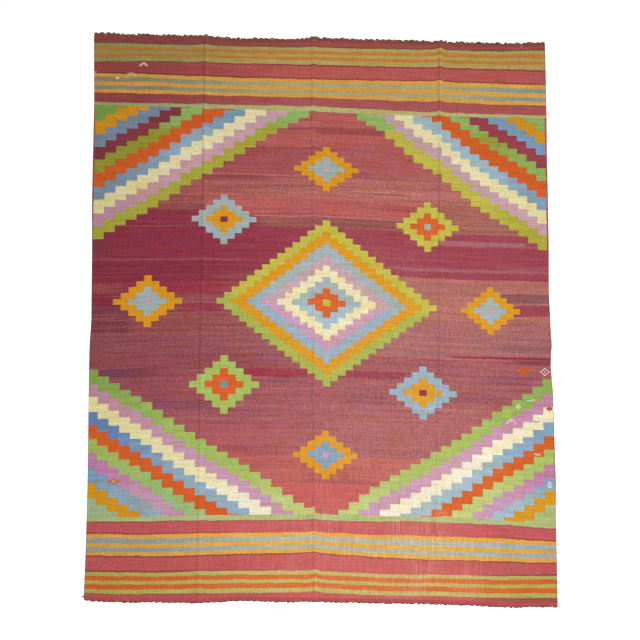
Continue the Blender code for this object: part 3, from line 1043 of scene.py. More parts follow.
class Looks:
    """A material, and the nodes that go into it."""

    def __init__(self, name, finish):
        self.material = bpy.data.materials.new(name)
        self.material.use_nodes = True
        self.tree = self.material.node_tree
        self.shader = self.tree.nodes["Principled BSDF"]
        for label, value in finish.items():
            self.shader.inputs[label].default_value = value

    def node(self, kind, settings, inputs):
        """A node of a kind: its settings first, then its sockets' values or links. A ramp's stops
        are places with colours."""
        made = self.tree.nodes.new(kind)
        for label, value in settings.items():
            if label == "stops":
                self.set_stops(made.color_ramp, value)
            elif label == "interpolation" and kind == "ShaderNodeValToRGB":
                made.color_ramp.interpolation = value
            else:
                setattr(made, label, value)
        for label, value in inputs.items():
            self.feed(made.inputs[label], value)
        return made

    def set_stops(self, ramp, stops):
        """Gives a ramp its stops, in order."""
        while len(ramp.elements) < len(stops):
            ramp.elements.new(1.0)
        for element, (place, colour) in zip(ramp.elements, stops):
            element.position = place
            element.color = (*colour, 1.0)

    def feed(self, socket, value):
        """Links a socket, or sets its own value."""
        source = value.socket if isinstance(value, Number) else value
        if isinstance(source, bpy.types.NodeSocket):
            self.tree.links.new(source, socket)
        elif hasattr(source, "__len__") and len(source) == 3 and socket.type == "RGBA":
            socket.default_value = (*source, 1.0)
        else:
            socket.default_value = source

    def math(self, operation, *terms):
        node = self.node("ShaderNodeMath", {"operation": operation}, dict(enumerate(terms)))
        return Number(self, node.outputs["Value"])

    def split(self, vector):
        """The first two parts of a vector."""
        node = self.node("ShaderNodeSeparateXYZ", {}, {"Vector": vector})
        return Number(self, node.outputs["X"]), Number(self, node.outputs["Y"])

    def map(self, label):
        """The two numbers of one of the piece's own maps."""
        return self.split(self.node("ShaderNodeUVMap", {"uv_map": label}, {}).outputs["UV"])

    def attribute(self, label, output):
        return self.node("ShaderNodeAttribute", {"attribute_name": label}, {}).outputs[output]

    def noise(self, x, y, detail=1.0):
        """Soft noise about 0, mostly from -0.5 to 0.5, whose cells are one unit of x by one of y."""
        place = self.node("ShaderNodeCombineXYZ", {}, {"X": x, "Y": y})
        node = self.node(
            "ShaderNodeTexNoise", {"noise_dimensions": "2D"},
            {"Vector": place.outputs["Vector"], "Scale": 1.0, "Detail": detail},
        )
        return (Number(self, node.outputs["Fac"]) - 0.5) * 2.0

    def uneven(self, u, v, kind):
        """A kind of unevenness at a place of the weave."""
        across = u * kind.across
        if kind.shift:
            across = across + kind.shift
        noise = self.noise(across, v * kind.along, kind.detail)
        return noise if kind.strength == 1.0 else noise * kind.strength

    def specks(self, x, y):
        """A random number from 0 to 1 for each cell of one unit of x by one of y."""
        place = self.node("ShaderNodeCombineXYZ", {}, {"X": x.floor(), "Y": y.floor()})
        node = self.node(
            "ShaderNodeTexWhiteNoise", {"noise_dimensions": "2D"}, {"Vector": place.outputs["Vector"]}
        )
        return Number(self, node.outputs["Value"])

    def ramp(self, place, stops, interpolation="CONSTANT"):
        """The colour at a place from 0 to 1 on a ramp."""
        node = self.node(
            "ShaderNodeValToRGB", {"interpolation": interpolation, "stops": stops}, {"Fac": place}
        )
        return node.outputs["Color"]

    def level(self, place, stops, interpolation="LINEAR"):
        """The number at a place from 0 to 1 on a ramp of numbers."""
        greys = [(at, (value, value, value)) for at, value in stops]
        node = self.node("ShaderNodeRGBToBW", {}, {"Color": self.ramp(place, greys, interpolation)})
        return Number(self, node.outputs["Val"])

    def mix(self, share, under, over):
        """A colour between two others."""
        node = self.node(
            "ShaderNodeMix", {"data_type": "RGBA"}, {"Factor": share, 6: under, 7: over}
        )
        return node.outputs[2]

    def tint(self, colour, red, green, blue):
        """A colour whose three parts are each made brighter or darker by a factor."""
        parts = self.node("ShaderNodeCombineXYZ", {}, {"X": red, "Y": green, "Z": blue})
        node = self.node(
            "ShaderNodeVectorMath", {"operation": "MULTIPLY"}, {0: colour, 1: parts.outputs["Vector"]}
        )
        return node.outputs["Vector"]

    def shade(self, colour, factor):
        """A colour made brighter or darker by a factor."""
        node = self.node(
            "ShaderNodeVectorMath", {"operation": "SCALE"}, {"Vector": colour, "Scale": factor}
        )
        return node.outputs["Vector"]

    def finish(self, colour, height, roughness=None):
        """Links the colour, the relief as a height in metres, and the roughness."""
        self.feed(self.shader.inputs["Base Color"], colour)
        bump = self.node("ShaderNodeBump", {}, {"Strength": 1.0, "Distance": 1.0, "Height": height})
        self.feed(self.shader.inputs["Normal"], bump.outputs["Normal"])
        if roughness is not None:
            self.feed(self.shader.inputs["Roughness"], roughness)
        return self.material


class Pattern:
    """The cloth's pattern as it is laid, figure over field: its colour so far, and its slits."""

    def __init__(self, looks, dyes, slit_wide, u, v):
        self.looks = looks
        self.dyes = dyes
        self.slit_wide = slit_wide
        self.u = u
        self.v = v
        self.ragged = u + looks.uneven(u, v, RAGGED_TURNS)
        self.wavy = v + looks.uneven(u, v, EDGE_WAVER) + looks.uneven(u, v, EDGE_TREMBLE)
        self.colour = None
        self.grain = None
        self.worked = None
        self.slits = None

    def dye(self, name):
        return tuple(getattr(self.dyes, name))

    def dyed(self, place, starts, rows, column):
        """The colour at a place from 0 to 1 on a ramp of one column of a table's dyes."""
        stops = [(start, self.dye(getattr(row, column))) for start, row in zip(starts, rows)]
        return self.looks.ramp(place, stops)

    def lay(self, inside, colour, grain, slits=0.0):
        """Lays a figure over what is there, with its own grain and slits in the place of the others.
        A figure with slits is worked, block by block."""
        bare = 1.0 - inside
        self.colour = self.looks.mix(inside, self.colour, colour)
        self.grain = self.grain * bare + inside * grain
        self.slits = self.slits * bare + inside * slits
        self.worked = self.worked * bare + inside * (0.0 if slits == 0.0 else 1.0)

    def lay_field(self):
        """The field: slabs of dye whose edges waver, mixed between left and right of the
        medallion, with patches, long thin streaks and broader faint ones."""
        looks, u, v = self.looks, self.u, self.v
        place = (FIELD_HEAD - self.wavy) / (FIELD_HEAD - FIELD_FOOT)
        at = [(FIELD_HEAD - slab.height) / (FIELD_HEAD - FIELD_FOOT) for slab in SLABS]
        left = self.dyed(place, at, SLABS, "left")
        right = self.dyed(place, at, SLABS, "right")
        side = (self.ragged + looks.uneven(u, v, SIDE_MIX)).eased(-0.80, 0.45)
        self.colour = looks.mix(side, left, right)
        for patch in PATCHES:
            self.lay_patch(patch)
        amount = looks.level(place, [(x, slab.streaks) for x, slab in zip(at, SLABS)], "CONSTANT")
        thin = looks.uneven(u, v, THIN_STREAKS)
        broad = looks.uneven(u, v, BROAD_STREAKS)
        self.colour = looks.shade(self.colour, 1.0 + thin * 0.16 + broad * 0.12)
        pale = (thin + broad * 0.5).eased(0.20, 0.75) * amount * 0.40
        self.colour = looks.mix(pale, self.colour, self.dye("peach"))
        dark = (thin * 0.7 - broad).eased(0.15, 0.75) * amount * 0.55
        self.colour = looks.mix(dark, self.colour, self.dye("violet"))
        self.grain = amount * 0.80 + 0.60
        self.slits = amount * 0.0
        self.worked = amount * 0.0

    def lay_patch(self, patch):
        """One patch: its ends are ragged, because each weft turns back at its own place."""
        across = (self.ragged > patch.left) * (self.ragged < patch.right)
        inside = across * (self.wavy > patch.low) * (self.wavy < patch.high) * patch.strength
        self.colour = self.looks.mix(inside, self.colour, self.dye(patch.dye))

    def lay_corner(self, corner):
        """A corner's fan: the column of a place gives its band's edge, the depth past that edge
        gives the band, and a slit stands between two columns wherever their bands differ."""
        looks, u, v = self.looks, self.u, self.v
        place = (u - corner.start) / corner.step
        column = place.floor()
        within = (column > -0.5) * (column < corner.columns - 0.5)
        stops = [((at + 0.5) / corner.columns, 0.5 + mm / DRIFT_SPAN) for at, mm in corner.drift]
        drift = (looks.level((column + 0.5) / corner.columns, stops) - 0.5) * (DRIFT_SPAN * MM)
        depth = (v - (drift + column * corner.rise + corner.edge)) * corner.side
        whole = sum(band.wide for band in corner.bands) * MM
        starts = np.cumsum([0] + [band.wide for band in corner.bands[:-1]]) * MM / whole
        outer = self.dyed(depth / whole, starts, corner.bands, "outer")
        inner = self.dyed(depth / whole, starts, corner.bands, "inner")
        close = self.dyed(depth / whole, starts, corner.bands, "close")
        inward = (column + looks.uneven(column, v, FAN_MIX)) / corner.columns
        if corner.start > 0.0:
            inward = 1.0 - inward
        colour = looks.mix(inward.eased(0.0, 0.45), outer, inner)
        near = (v * corner.side + looks.uneven(column, v, FAN_CLOSE_MIX)).eased(*CLOSE[corner.side])
        colour = looks.mix(near, colour, close)
        half_on = (depth / (2.0 * abs(corner.rise))).fraction() > 0.5
        falls = corner.rise * corner.side > 0.0
        before, after = (half_on, 1.0 - half_on) if falls else (1.0 - half_on, half_on)
        slits = self.column_slits(place.fraction(), corner.step, before, after)
        self.lay(within * (depth > 0.0), colour, 0.6, slits)

    def column_slits(self, place, step, before, after):
        """Slits at the two sides of a column, where before and after say."""
        wide = self.slit_wide / step
        return (place < wide) * before + (place > 1.0 - wide) * after

    def lay_diamond(self, diamond):
        """A stepped diamond: the number of columns out from the middle and of rises up or down
        add up to the ring, so each column out loses half a ring's height above and below."""
        looks = self.looks
        place = (self.u - diamond.across) / diamond.step + 0.5
        column = abs(place.floor())
        above = self.v - diamond.height
        ring = column + abs(above) / diamond.rise + 0.5
        total = sum(ring.steps for ring in diamond.rings)
        if total > FEATHER_MIDDLE:
            soft = (abs(ring - FEATHER_MIDDLE) < 1.9) * FEATHER
            ring = ring + looks.uneven(self.u, self.v, RING_FEATHERS) * soft
        starts = np.cumsum([0] + [ring.steps for ring in diamond.rings[:-1]]) / total
        colour = self.dyed(ring / total, starts, diamond.rings, "upper")
        if any(ring.upper != ring.lower for ring in diamond.rings):
            lower = self.dyed(ring / total, starts, diamond.rings, "lower")
            under = above + looks.uneven(self.u, self.v, RING_MIX) + self.u * 0.06
            colour = looks.mix(under.eased(0.01, -0.01), colour, lower)
        half_on = ((ring + 1.0) / 2.0).fraction() > 0.5
        outward = (place - 0.5) > 0.0
        after = outward * half_on + (1.0 - outward) * (1.0 - half_on)
        slits = self.column_slits(place.fraction(), diamond.step, 1.0 - after, after)
        self.lay(ring < total, colour, 0.6, slits)

    def lay_stripes(self, stripes, inside):
        """Stripes across the rug, whose edges waver a little."""
        looks, u, v = self.looks, self.u, self.v
        wavy = v + looks.uneven(u, v, STRIPE_WAVER) + looks.uneven(u, v, STRIPE_TREMBLE)
        low = stripes[0].height
        high = low + 0.5
        at = [(stripe.height - low) / (high - low) for stripe in stripes]
        place = (wavy - low) / (high - low)
        left = self.dyed(place, at, stripes, "left")
        rest = self.dyed(place, at, stripes, "dye")
        right = self.dyed(place, at, stripes, "right")
        colour = looks.mix(self.ragged.eased(-0.95, -0.05), left, rest)
        self.lay(inside, looks.mix(self.ragged.eased(0.65, 1.05), colour, right), 0.6)


def cloth_material(dyes, cloth):
    """The woven wool. The pattern gives the colour. Yarn lots, dashes of uneven spinning, faint warp
    lines, worn places with pale ticks of warp, bare warps near the foot, the folds' painted shade and
    painted highlight, slits and the corded selvedge vary it. The relief is ribs along the warps, the
    beat of the wefts over them and an unevenness."""
    looks = Looks("woven_wool", WOOL)
    u, v = looks.map("weave")
    side_margin, end_margin = looks.map("margin")
    # The folds' painted shade and painted highlight, read from the sheet's points.
    fold_light_paint = Number(looks, looks.attribute("fold_soil", "Fac"))
    wavy = v + looks.uneven(u, v, WEFT_STRAY)
    straying = u + looks.uneven(u, v, WARP_STRAY)
    pattern = Pattern(looks, dyes, cloth.slit, straying, wavy)
    pattern.lay_field()
    for corner in CORNERS:
        pattern.lay_corner(corner)
    for diamond in DIAMONDS:
        pattern.lay_diamond(diamond)
    out = abs(u)
    pattern.lay_stripes(HEAD_STRIPES, v > out * HEAD_EDGE[1] + HEAD_EDGE[0])
    pattern.lay_stripes(FOOT_STRIPES, v < out * FOOT_EDGE[1] + FOOT_EDGE[0])
    colour = pattern.colour

    mottle = looks.uneven(u, v, END_MOTTLE)
    end_band = (end_margin + mottle * 0.008).eased(0.012, 0.002) * (v > 0.0)
    colour = looks.mix(end_band * 0.45, colour, looks.ramp(mottle * 0.8 + 0.5, [
        (0.0, tuple(dyes.bark)), (0.38, tuple(dyes.oxblood)), (0.52, tuple(dyes.khaki)),
        (0.62, tuple(dyes.tan)),
    ]))

    hue = looks.uneven(u, v, HUES)
    cast = looks.uneven(u, v, CASTS)
    colour = looks.tint(colour, 1.0 + hue * 0.14, 1.0 - hue * 0.08 + cast * 0.08, 1.0 + cast * 0.40)
    lots = looks.uneven(u, v, YARN_LOTS)
    yarn = looks.uneven(u, v, YARNS)
    dashes = looks.uneven(u, v, YARN_DASHES) * pattern.grain * 0.34
    beside, beyond = WEAR_MIDDLE
    worn = 0.82 - (u - beside) * (u - beside) * 0.9 - (v - beyond) * (v - beyond) * 0.28
    worn = (worn + looks.uneven(u, v, WEAR)).eased(0.25, 0.95)
    warps = looks.uneven(u, v, WARP_LINES) * (worn * 0.14 + 0.12) * (1.0 - pattern.worked * 0.4)
    colour = looks.shade(colour, 1.0 + lots + yarn + dashes + warps)
    tick_place, tick_height = u / cloth.tick, v / (cloth.beat * 3.0)
    chance = looks.specks(tick_place, tick_height)
    clustered = looks.uneven(u, v, TICK_CLUSTERS) + 0.9
    ticks = (chance > 1.0 - (worn * 0.26 + 0.008) * clustered) * (tick_place.fraction() < 0.5)
    ticks = ticks * (worn * 0.26 + 0.14) * (1.0 - pattern.worked * 0.7)
    bare_warps = (looks.specks(tick_place, v * 9.0) > 0.40) * (tick_place.fraction() < 0.45)
    bare_warps = bare_warps * looks.uneven(u, v, BARE_PATCHES).eased(-0.10, 0.25)
    bare_warps = bare_warps * worn * (1.0 - v).eased(1.5, 2.2) * (0.27 + dashes * 0.9)
    colour = looks.mix(ticks, colour, tuple(dyes.peach))
    colour = looks.mix(bare_warps, colour, tuple(dyes.peach_pale))
    colour = looks.mix(worn * 0.05, colour, tuple(dyes.sand))
    selvedge_dark = side_margin.eased(cloth.selvedge_wide, cloth.selvedge_wide * 0.5)
    slit_shade = 1.0 - pattern.slits * 0.17
    # The last factor paints the folds' shade and highlight into the colour.
    colour = looks.shade(colour, slit_shade * (1.0 - selvedge_dark * 0.18) * (1.0 + fold_light_paint))

    rib = ((u * (math.pi / cloth.rib)).sine() * (v * (math.pi / cloth.beat)).sine())
    rib_round = abs((u * (math.pi / cloth.rib)).sine())
    relief = rib_round * RIB_HIGH + rib * BEAT_HIGH + looks.uneven(u, v, FINE_RELIEF)
    relief = relief + looks.uneven(u, v, BROAD_RELIEF)
    return looks.finish(colour, relief)


def yarn_material(name):
    """Twisted yarn: each tube's own dye and lot, with painted shade in the grooves of its twist and a painted
    highlight on its crests.
    """
    looks = Looks(name, WOOL)
    run, turn = looks.map("yarn")
    lot = Number(looks, looks.attribute("lot", "Fac"))
    twist = ((run / TWIST_LONG + turn) * TAU).sine()
    fuzz = looks.noise(run * 900.0, turn * 5.0 + lot * 40.0, 1.0)
    # twist * 0.10 is painted shade in the twist's grooves and painted highlight on its crests; the lot and
    # the fuzz vary the tone at random.
    shade = 0.85 + lot * 0.3 + twist * 0.10 + fuzz * 0.15
    colour = looks.shade(looks.attribute("dye", "Color"), shade)
    return looks.finish(colour, twist * 0.00020 + fuzz * 0.00010)


# ---- Pieces -----------------------------------------------------------------------------------------

def sheet_columns(cloth):
    """The places of the mesh's columns across the head: even ones, and closer ones over each fold and
    along each selvedge. Of two that all but meet, one goes."""
    places = [np.linspace(-WIDTH / 2, WIDTH / 2, cloth.even_columns)]
    close = np.concatenate([np.arange(-0.024, 0.032, 0.002), [0.036, 0.040, 0.045]])
    places += [crease.head_across + close for crease in CREASES]
    rim = WIDTH / 2 - cloth.selvedge_wide * np.array([0.0, 0.08, 0.22, 0.5, 0.8, 1.2])
    places += [rim, -rim]
    places = np.unique(np.concatenate(places))
    spare = np.diff(places) < 0.0005
    return places[np.concatenate([[True], ~spare])]


def build_cloth(dyes, cloth):
    """The sheet. Across, a column keeps its share between the selvedges and the folds; along, a
    row keeps its share between the two ends. The sheet is as thick as the cloth, a little thicker
    at the selvedge, and round at its rim."""
    heads = sheet_columns(cloth)
    rows = np.linspace(0.0, 1.0, cloth.even_rows)
    rim_rows = np.array([0.0004, 0.0012, 0.0030])
    rows = np.sort(np.concatenate([rows, rim_rows / 2.0, 1.0 - rim_rows / 2.0]))
    knots = [-WIDTH / 2] + [crease.head_across for crease in CREASES] + [WIDTH / 2]
    lines = [selvedge(rows, -1)]
    lines += [fold_line(crease.head_across, rows) for crease in CREASES]
    lines += [selvedge(rows, 1)]
    lines = np.stack(lines, axis=1)
    section = np.clip(np.searchsorted(knots, heads, side="right") - 1, 0, len(knots) - 2)
    start, stop = np.array(knots)[section], np.array(knots)[section + 1]
    share = (heads - start) / (stop - start)
    across = lines[:, section] * (1.0 - share) + lines[:, section + 1] * share
    foot, head = cloth_end(across, -1), cloth_end(across, 1)
    along_share = rows[:, None] * np.ones_like(across)
    along = foot + (head - foot) * along_share

    side_margin = np.minimum(across - across[:, :1], across[:, -1:] - across)
    end_margin = np.minimum(along - foot, head - along)
    cord = np.exp(-(((side_margin - cloth.selvedge_wide * 0.4) / (cloth.selvedge_wide * 0.35)) ** 2))
    thick = cloth.thick * (1.0 + cloth.selvedge_more * cord)
    inset = np.minimum(np.minimum(side_margin, end_margin) / (cloth.thick / 2.0), 1.0)
    round_off = np.maximum(np.sqrt(1.0 - (1.0 - inset) ** 2), 0.35)
    floor_side = underside(across, along_share, cloth.cockle)
    middle = floor_side + thick / 2.0
    top = np.stack([across, along, middle + thick / 2.0 * round_off], -1)
    under = np.stack([across, along, middle - thick / 2.0 * round_off], -1)
    weave = np.stack([across, weft_height_at(across, along)], -1)
    margin = np.stack([side_margin, end_margin], -1)
    # The folds' painted shade and painted highlight, for each point.
    values = {"fold_soil": fold_soil(across, along_share)}
    shape = closed_sheet(top, under, weave, margin, values)
    piece = add_piece("woven_sheet", shape, [cloth_material(dyes, cloth)])
    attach(piece, "root")
    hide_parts("kilim_cloth")


def knot_stations(chance, side):
    """The knots' middles and their roots' widths from left to right, drawn as the fixed model
    draws them."""
    corners = end_places(side)
    corners[0], corners[-1] = end_corners(side)
    found = []
    for start, stop in zip(corners, corners[1:]):
        count = max(1, round((stop - start) / KNOT_PITCH))
        pitch = (stop - start) / count
        for number in range(count):
            neck = KNOT_NECK * chance.uniform(*KNOT_WIDE) * min(1.0, pitch / KNOT_PITCH)
            stray = chance.uniform(-KNOT_SHIFT, KNOT_SHIFT) * (pitch - neck) / 2
            found.append((start + (number + 0.5) * pitch + stray, neck))
    return np.array(found)


def yarn_dyes(dyes, *names):
    """The dyes of these names, as rows of red, green, blue and 1."""
    return np.array([(*getattr(dyes, name), 1.0) for name in names])


def strip_edge(across, side):
    """The strip's inner edge."""
    return cloth_end(across, side) + side * PART_GAP


def end_core(side, deep, dyes):
    """The flat cord inside the plait, from corner to corner, just into the cloth's own edge."""
    share = (1 + side) / 2
    left, right = end_corners(side)
    across = np.linspace(left + 0.001, right - 0.001, 260)
    along = cloth_end(across, side) + side * (deep * 0.5 - 0.0012)
    path = np.stack([across, along, lift(across, share) + 0.0013], -1)[None]
    red = yarn_dyes(dyes, "oxblood" if side > 0 else "brick_rich")
    return tubes(path, deep * 0.5 + 0.0012, 0.0013, 8, red)


def end_wraps(side, deep, finish, dyes):
    """Three rows of slanting wraps side by side, each an arch from edge to edge of its own third of
    the strip. The middle row slants the other way, so that together they make a plait. The last row
    has more warp yarn in it."""
    share = (1 + side) / 2
    left, right = end_corners(side)
    count = int((right - left) / finish.wrap_pitch)
    middles = left + (np.arange(count) + 0.5) * (right - left) / count
    chance = np.random.default_rng(21 + side)
    step = np.linspace(-1.0, 1.0, 5)
    red = "brick_worn" if side > 0 else "brick_rich"
    colours = yarn_dyes(dyes, "tan", "brown", red, "oxblood")
    rows = []
    for row in (0, 1, 2):
        lean = finish.wrap_pitch * 0.42 * (1 if row == 1 else -1)
        warps = 0.12 + 0.22 * (row == 2) if side > 0 else 0.03 + 0.12 * (row == 2)
        odds = np.array([warps * 0.3, warps, 0.62, 0.26])
        odds = odds / odds.sum()
        across = middles[:, None] + lean * step + chance.normal(0.0, 0.0006, (count, 1))
        across = np.clip(across, left + 0.001, right - 0.001)
        along = strip_edge(across, side) + side * deep * (0.12 + 0.35 * row + 0.17 * step)
        arch = 0.0011 + 0.0017 * (1.0 - step ** 2) + chance.uniform(-0.0001, 0.0002, (count, 1))
        paths = np.stack([across, along, lift(across, share) + arch], -1)
        lots = chance.choice(len(colours), count, p=odds)
        half = finish.wrap_thick / 2 * (0.75 + 0.25 * (1.0 - step ** 2))
        rows.append(tubes(paths, half, half * 0.62, 6, colours[lots]))
    return joined(rows)


def end_knots(side, seed, deep, finish, dyes):
    """A lump for each knot, which swells from its root to its waist and closes at its tip, with two
    strands that cross over it, a smaller lump beside it, and short cut tails beyond."""
    chance = random.Random(seed)
    stations = knot_stations(chance, side)
    drawn = [(chance.uniform(*KNOT_LONG), chance.uniform(-KNOT_SLANT, KNOT_SLANT)) for _ in stations]
    long, slant = np.array(drawn).T
    long = long * (0.95 if side > 0 else 0.55)
    middle, neck = stations.T
    count = len(middle)
    share = (1 + side) / 2
    extra = np.random.default_rng(31 + side)
    shades = yarn_dyes(dyes, "walnut", "brown", "khaki" if side > 0 else "oxblood", "tan")
    odds = (0.14, 0.62, 0.12, 0.12) if side > 0 else (0.14, 0.36, 0.44, 0.06)
    lots = extra.choice(len(shades), count, p=odds)
    turn = np.linspace(0.06, 1.0, 7) * math.pi
    out = (1.0 - np.cos(turn)) / 2.0
    girth = np.sin(turn) ** 0.6 + 0.12
    parts = []
    for number, (wide, reach, beside) in enumerate(((2.15, 1.0, 0.0), (1.60, 0.55, 0.5))):
        place = middle + beside * KNOT_PITCH * (1.0 + 0.2 * np.sin(40.0 * middle))
        place = np.minimum(place, end_corners(side)[1] - 0.008)
        step = deep - 0.0030 + (0.0030 + long[:, None] * reach) * out
        across = place[:, None] + (slant * long)[:, None] * out
        along = strip_edge(across, side) + side * step
        high = finish.knot_thick / 2 * (1.0 - 0.25 * number) * (np.sin(turn) ** 0.7 + 0.15)
        paths = np.stack([across, along, lift(across, share) + np.maximum(high, 0.0008)], -1)
        colours = shades[lots if number == 0 else extra.choice(len(shades), count, p=odds)]
        parts.append(tubes(paths, neck[:, None] / 2 * wide * girth, high, 8, colours))
        if number == 0:
            tip_across, tip_along = across[:, -1], along[:, -1]
    bend = np.linspace(-1.0, 1.0, 7)
    arch = finish.knot_thick * 0.56 * (1.0 + (1.0 - bend ** 2) ** 0.5)
    for lean in (-1.0, 1.0):
        over_across = (middle + slant * long * 0.45)[:, None] + neck[:, None] * 1.15 * bend
        over_out = (deep + long * 0.40)[:, None] + lean * long[:, None] * 0.32 * bend
        over_along = strip_edge(over_across, side) + side * over_out
        strands = np.stack([over_across, over_along, lift(over_across, share) + arch], -1)
        colours = shades[extra.choice(len(shades), count, p=odds)]
        parts.append(tubes(strands, 0.0011, 0.0008, 6, colours))
    for number in range(3):
        spread = (number - 1) * 0.5 + extra.uniform(-0.2, 0.2, count)
        reach = finish.tail_long * extra.uniform(0.3, 1.0, count)
        run = np.linspace(0.0, 1.0, 4)
        tail_across = (tip_across + spread * neck * 0.4)[:, None]
        tail_across = tail_across + (spread * reach * 0.5)[:, None] * run ** 2
        tail_along = (tip_along - side * 0.0015)[:, None] + side * reach[:, None] * run
        level = lift(tail_across, share) + 0.0008 + 0.0006 * (1.0 - run)
        half = 0.0008 * (1.0 - 0.5 * run)
        parts.append(tubes(np.stack([tail_across, tail_along, level], -1), half, half, 4, shades[lots]))
    return joined(parts)


def corner_cord(dyes):
    """The foot cord's free end, past the left corner."""
    run = np.linspace(0.0, 1.0, 6)
    start = end_corners(-1)[0]
    across = start + 0.002 - (CORD_OUT + 0.002) * run
    along = strip_edge(start, -1) - STRIP_DEEP / 2 + 0.0012 * np.sin(run * 4.0)
    path = np.stack([across, along * np.ones(6), 0.0020 - 0.0006 * run], -1)[None]
    half = np.array([0.0036, 0.0034, 0.0030, 0.0028, 0.0024, 0.0012])
    return tubes(path, half, half * 0.5, 8, yarn_dyes(dyes, "walnut"))


def build_end_finish(name, side, seed, finish, dyes):
    """The plaited strip and the knots at one end."""
    deep = STRIP_DEEP + (finish.head_more if side > 0 else finish.foot_more)
    shapes = [end_core(side, deep, dyes), end_wraps(side, deep, finish, dyes)]
    shapes.append(end_knots(side, seed, deep, finish, dyes))
    if side < 0:
        shapes.append(corner_cord(dyes))
    piece = add_piece(name + "_yarns", joined(shapes), [yarn_material(name + "_yarn")])
    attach(piece, "root")
    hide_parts(name)


def mark_shape(mark, marks, cloth, dyes):
    """One mark's stitches: each hash of its chart is a short flat stitch lying across the warps,
    as wide as its cell and a little longer."""
    chart = CHARTS[mark.chart]
    cells = [(column, row) for row, line in enumerate(chart)
             for column, sign in enumerate(line) if sign == "#"]
    column, row = np.array(cells, float).T
    wide = mark.wide / max(len(line) for line in chart)
    high = mark.high / len(chart)
    across = mark.across + (column + 0.5) * wide - mark.wide / 2
    height = mark.height - (row + 0.5) * high + mark.high / 2
    step = np.linspace(-1.0, 1.0, 5)
    across = across[:, None] + step * wide * 0.72
    along = along_at(across, height[:, None] * np.ones_like(across))
    arch = marks.stitch_thick * (0.10 + 0.45 * (1.0 - step ** 2))
    paths = np.stack([across, along, cloth_top(across, along, cloth) + arch], -1)
    half = high * 0.58 * (0.75 + 0.25 * (1.0 - step ** 2))
    colours = np.tile(yarn_dyes(dyes, mark.dye), (len(cells), 1))
    return tubes(paths, half, marks.stitch_thick / 2, 6, colours)


def build_marks(dyes, cloth, marks):
    """All the small brocaded marks, as one piece."""
    shape = joined([mark_shape(mark, marks, cloth, dyes) for mark in MARKS])
    piece = add_piece("brocade_stitches", shape, [yarn_material("brocade_wool")])
    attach(piece, "root")


def loose_end_shape(end, marks, cloth, dyes):
    """A loose end: its heading turns evenly along it, and it lies on the cloth or the floor."""
    steps = 12
    run = np.linspace(0.0, 1.0, steps)
    heading = np.radians(end.heading + end.bend * run)
    pace = end.long / (steps - 1)
    across = end.across + np.concatenate([[0.0], np.cumsum(np.cos(heading[:-1]) * pace)])
    along = end.along + np.concatenate([[0.0], np.cumsum(np.sin(heading[:-1]) * pace)])
    on_cloth = cloth_top(across, along, cloth) * (np.abs(across) < WIDTH / 2 - 0.006)
    level = np.maximum(on_cloth, 0.0) + marks.yarn_thick * end.thick * 0.45
    level = np.convolve(np.pad(level, 2, mode="edge"), np.ones(5) / 5, mode="valid")
    half = marks.yarn_thick / 2 * end.thick * (1.0 - 0.5 * run ** 4)
    path = np.stack([across, along, level], -1)[None]
    return tubes(path, half, half, 6, yarn_dyes(dyes, end.dye))


def build_loose_ends(dyes, cloth, marks):
    """The few loose ends of yarn, as one piece."""
    shape = joined([loose_end_shape(end, marks, cloth, dyes) for end in LOOSE_ENDS])
    piece = add_piece("loose_ends", shape, [yarn_material("loose_wool")])
    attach(piece, "root")


# ---- The stage --------------------------------------------------------------------------------------

FLOOR_HALF = 9.0                 # from the middle of the floor to its edge
FLOOR_LEVEL = -0.0005            # just under the rug
PICTURE_MIDDLE = (0.0015, -0.0354, 0.0)
SENSOR_WIDE = 36.0
Lamp = namedtuple("Lamp", "size place target")
KEY = Lamp(1.6, (0.5, -0.6, 3.5), (0.4, -0.3, 0.0))
FILL = Lamp(4.0, (0.2, 0.1, 4.4), (0.0, 0.0, 0.0))


def add_light(name, power, kind):
    """A square area light that looks at a target."""
    size, place, target = kind
    light = bpy.data.lights.new(name, "AREA")
    light.energy = power
    light.size = size
    lamp = bpy.data.objects.new(name, light)
    lamp.location = place
    lamp.rotation_euler = (Vector(target) - Vector(place)).to_track_quat("-Z", "Y").to_euler()
    bpy.context.scene.collection.objects.link(lamp)


def add_floor(stage):
    """A wide plain floor just under the rug, which gives a little light back evenly."""
    looks = Looks("floor", {"Roughness": 0.9})
    looks.shader.inputs["Base Color"].default_value = (*stage.floor, 1.0)
    looks.shader.inputs["Emission Color"].default_value = (1.0, 1.0, 1.0, 1.0)
    looks.shader.inputs["Emission Strength"].default_value = stage.floor_glow
    mesh = bpy.data.meshes.new("floor")
    corners = [(-1, -1), (1, -1), (1, 1), (-1, 1)]
    places = [(x * FLOOR_HALF, y * FLOOR_HALF, FLOOR_LEVEL) for x, y in corners]
    mesh.from_pydata(places, [], [(0, 1, 2, 3)])
    mesh.materials.append(looks.material)
    floor = bpy.data.objects.new("floor", mesh)
    bpy.context.scene.collection.objects.link(floor)


def add_camera(stage):
    """The camera over the rug, tilted from straight above towards the foot. The middle of its
    picture lies on the floor, under the middle of the photograph's own frame."""
    target = Vector(PICTURE_MIDDLE)
    back = Vector((0.0, -math.sin(stage.tilt), math.cos(stage.tilt)))
    data = bpy.data.cameras.new("camera")
    data.lens = stage.lens
    data.sensor_width = SENSOR_WIDE
    camera = bpy.data.objects.new("camera", data)
    camera.location = target + back * stage.distance
    camera.rotation_euler = (stage.tilt, 0.0, 0.0)
    bpy.context.scene.collection.objects.link(camera)
    bpy.context.scene.camera = camera


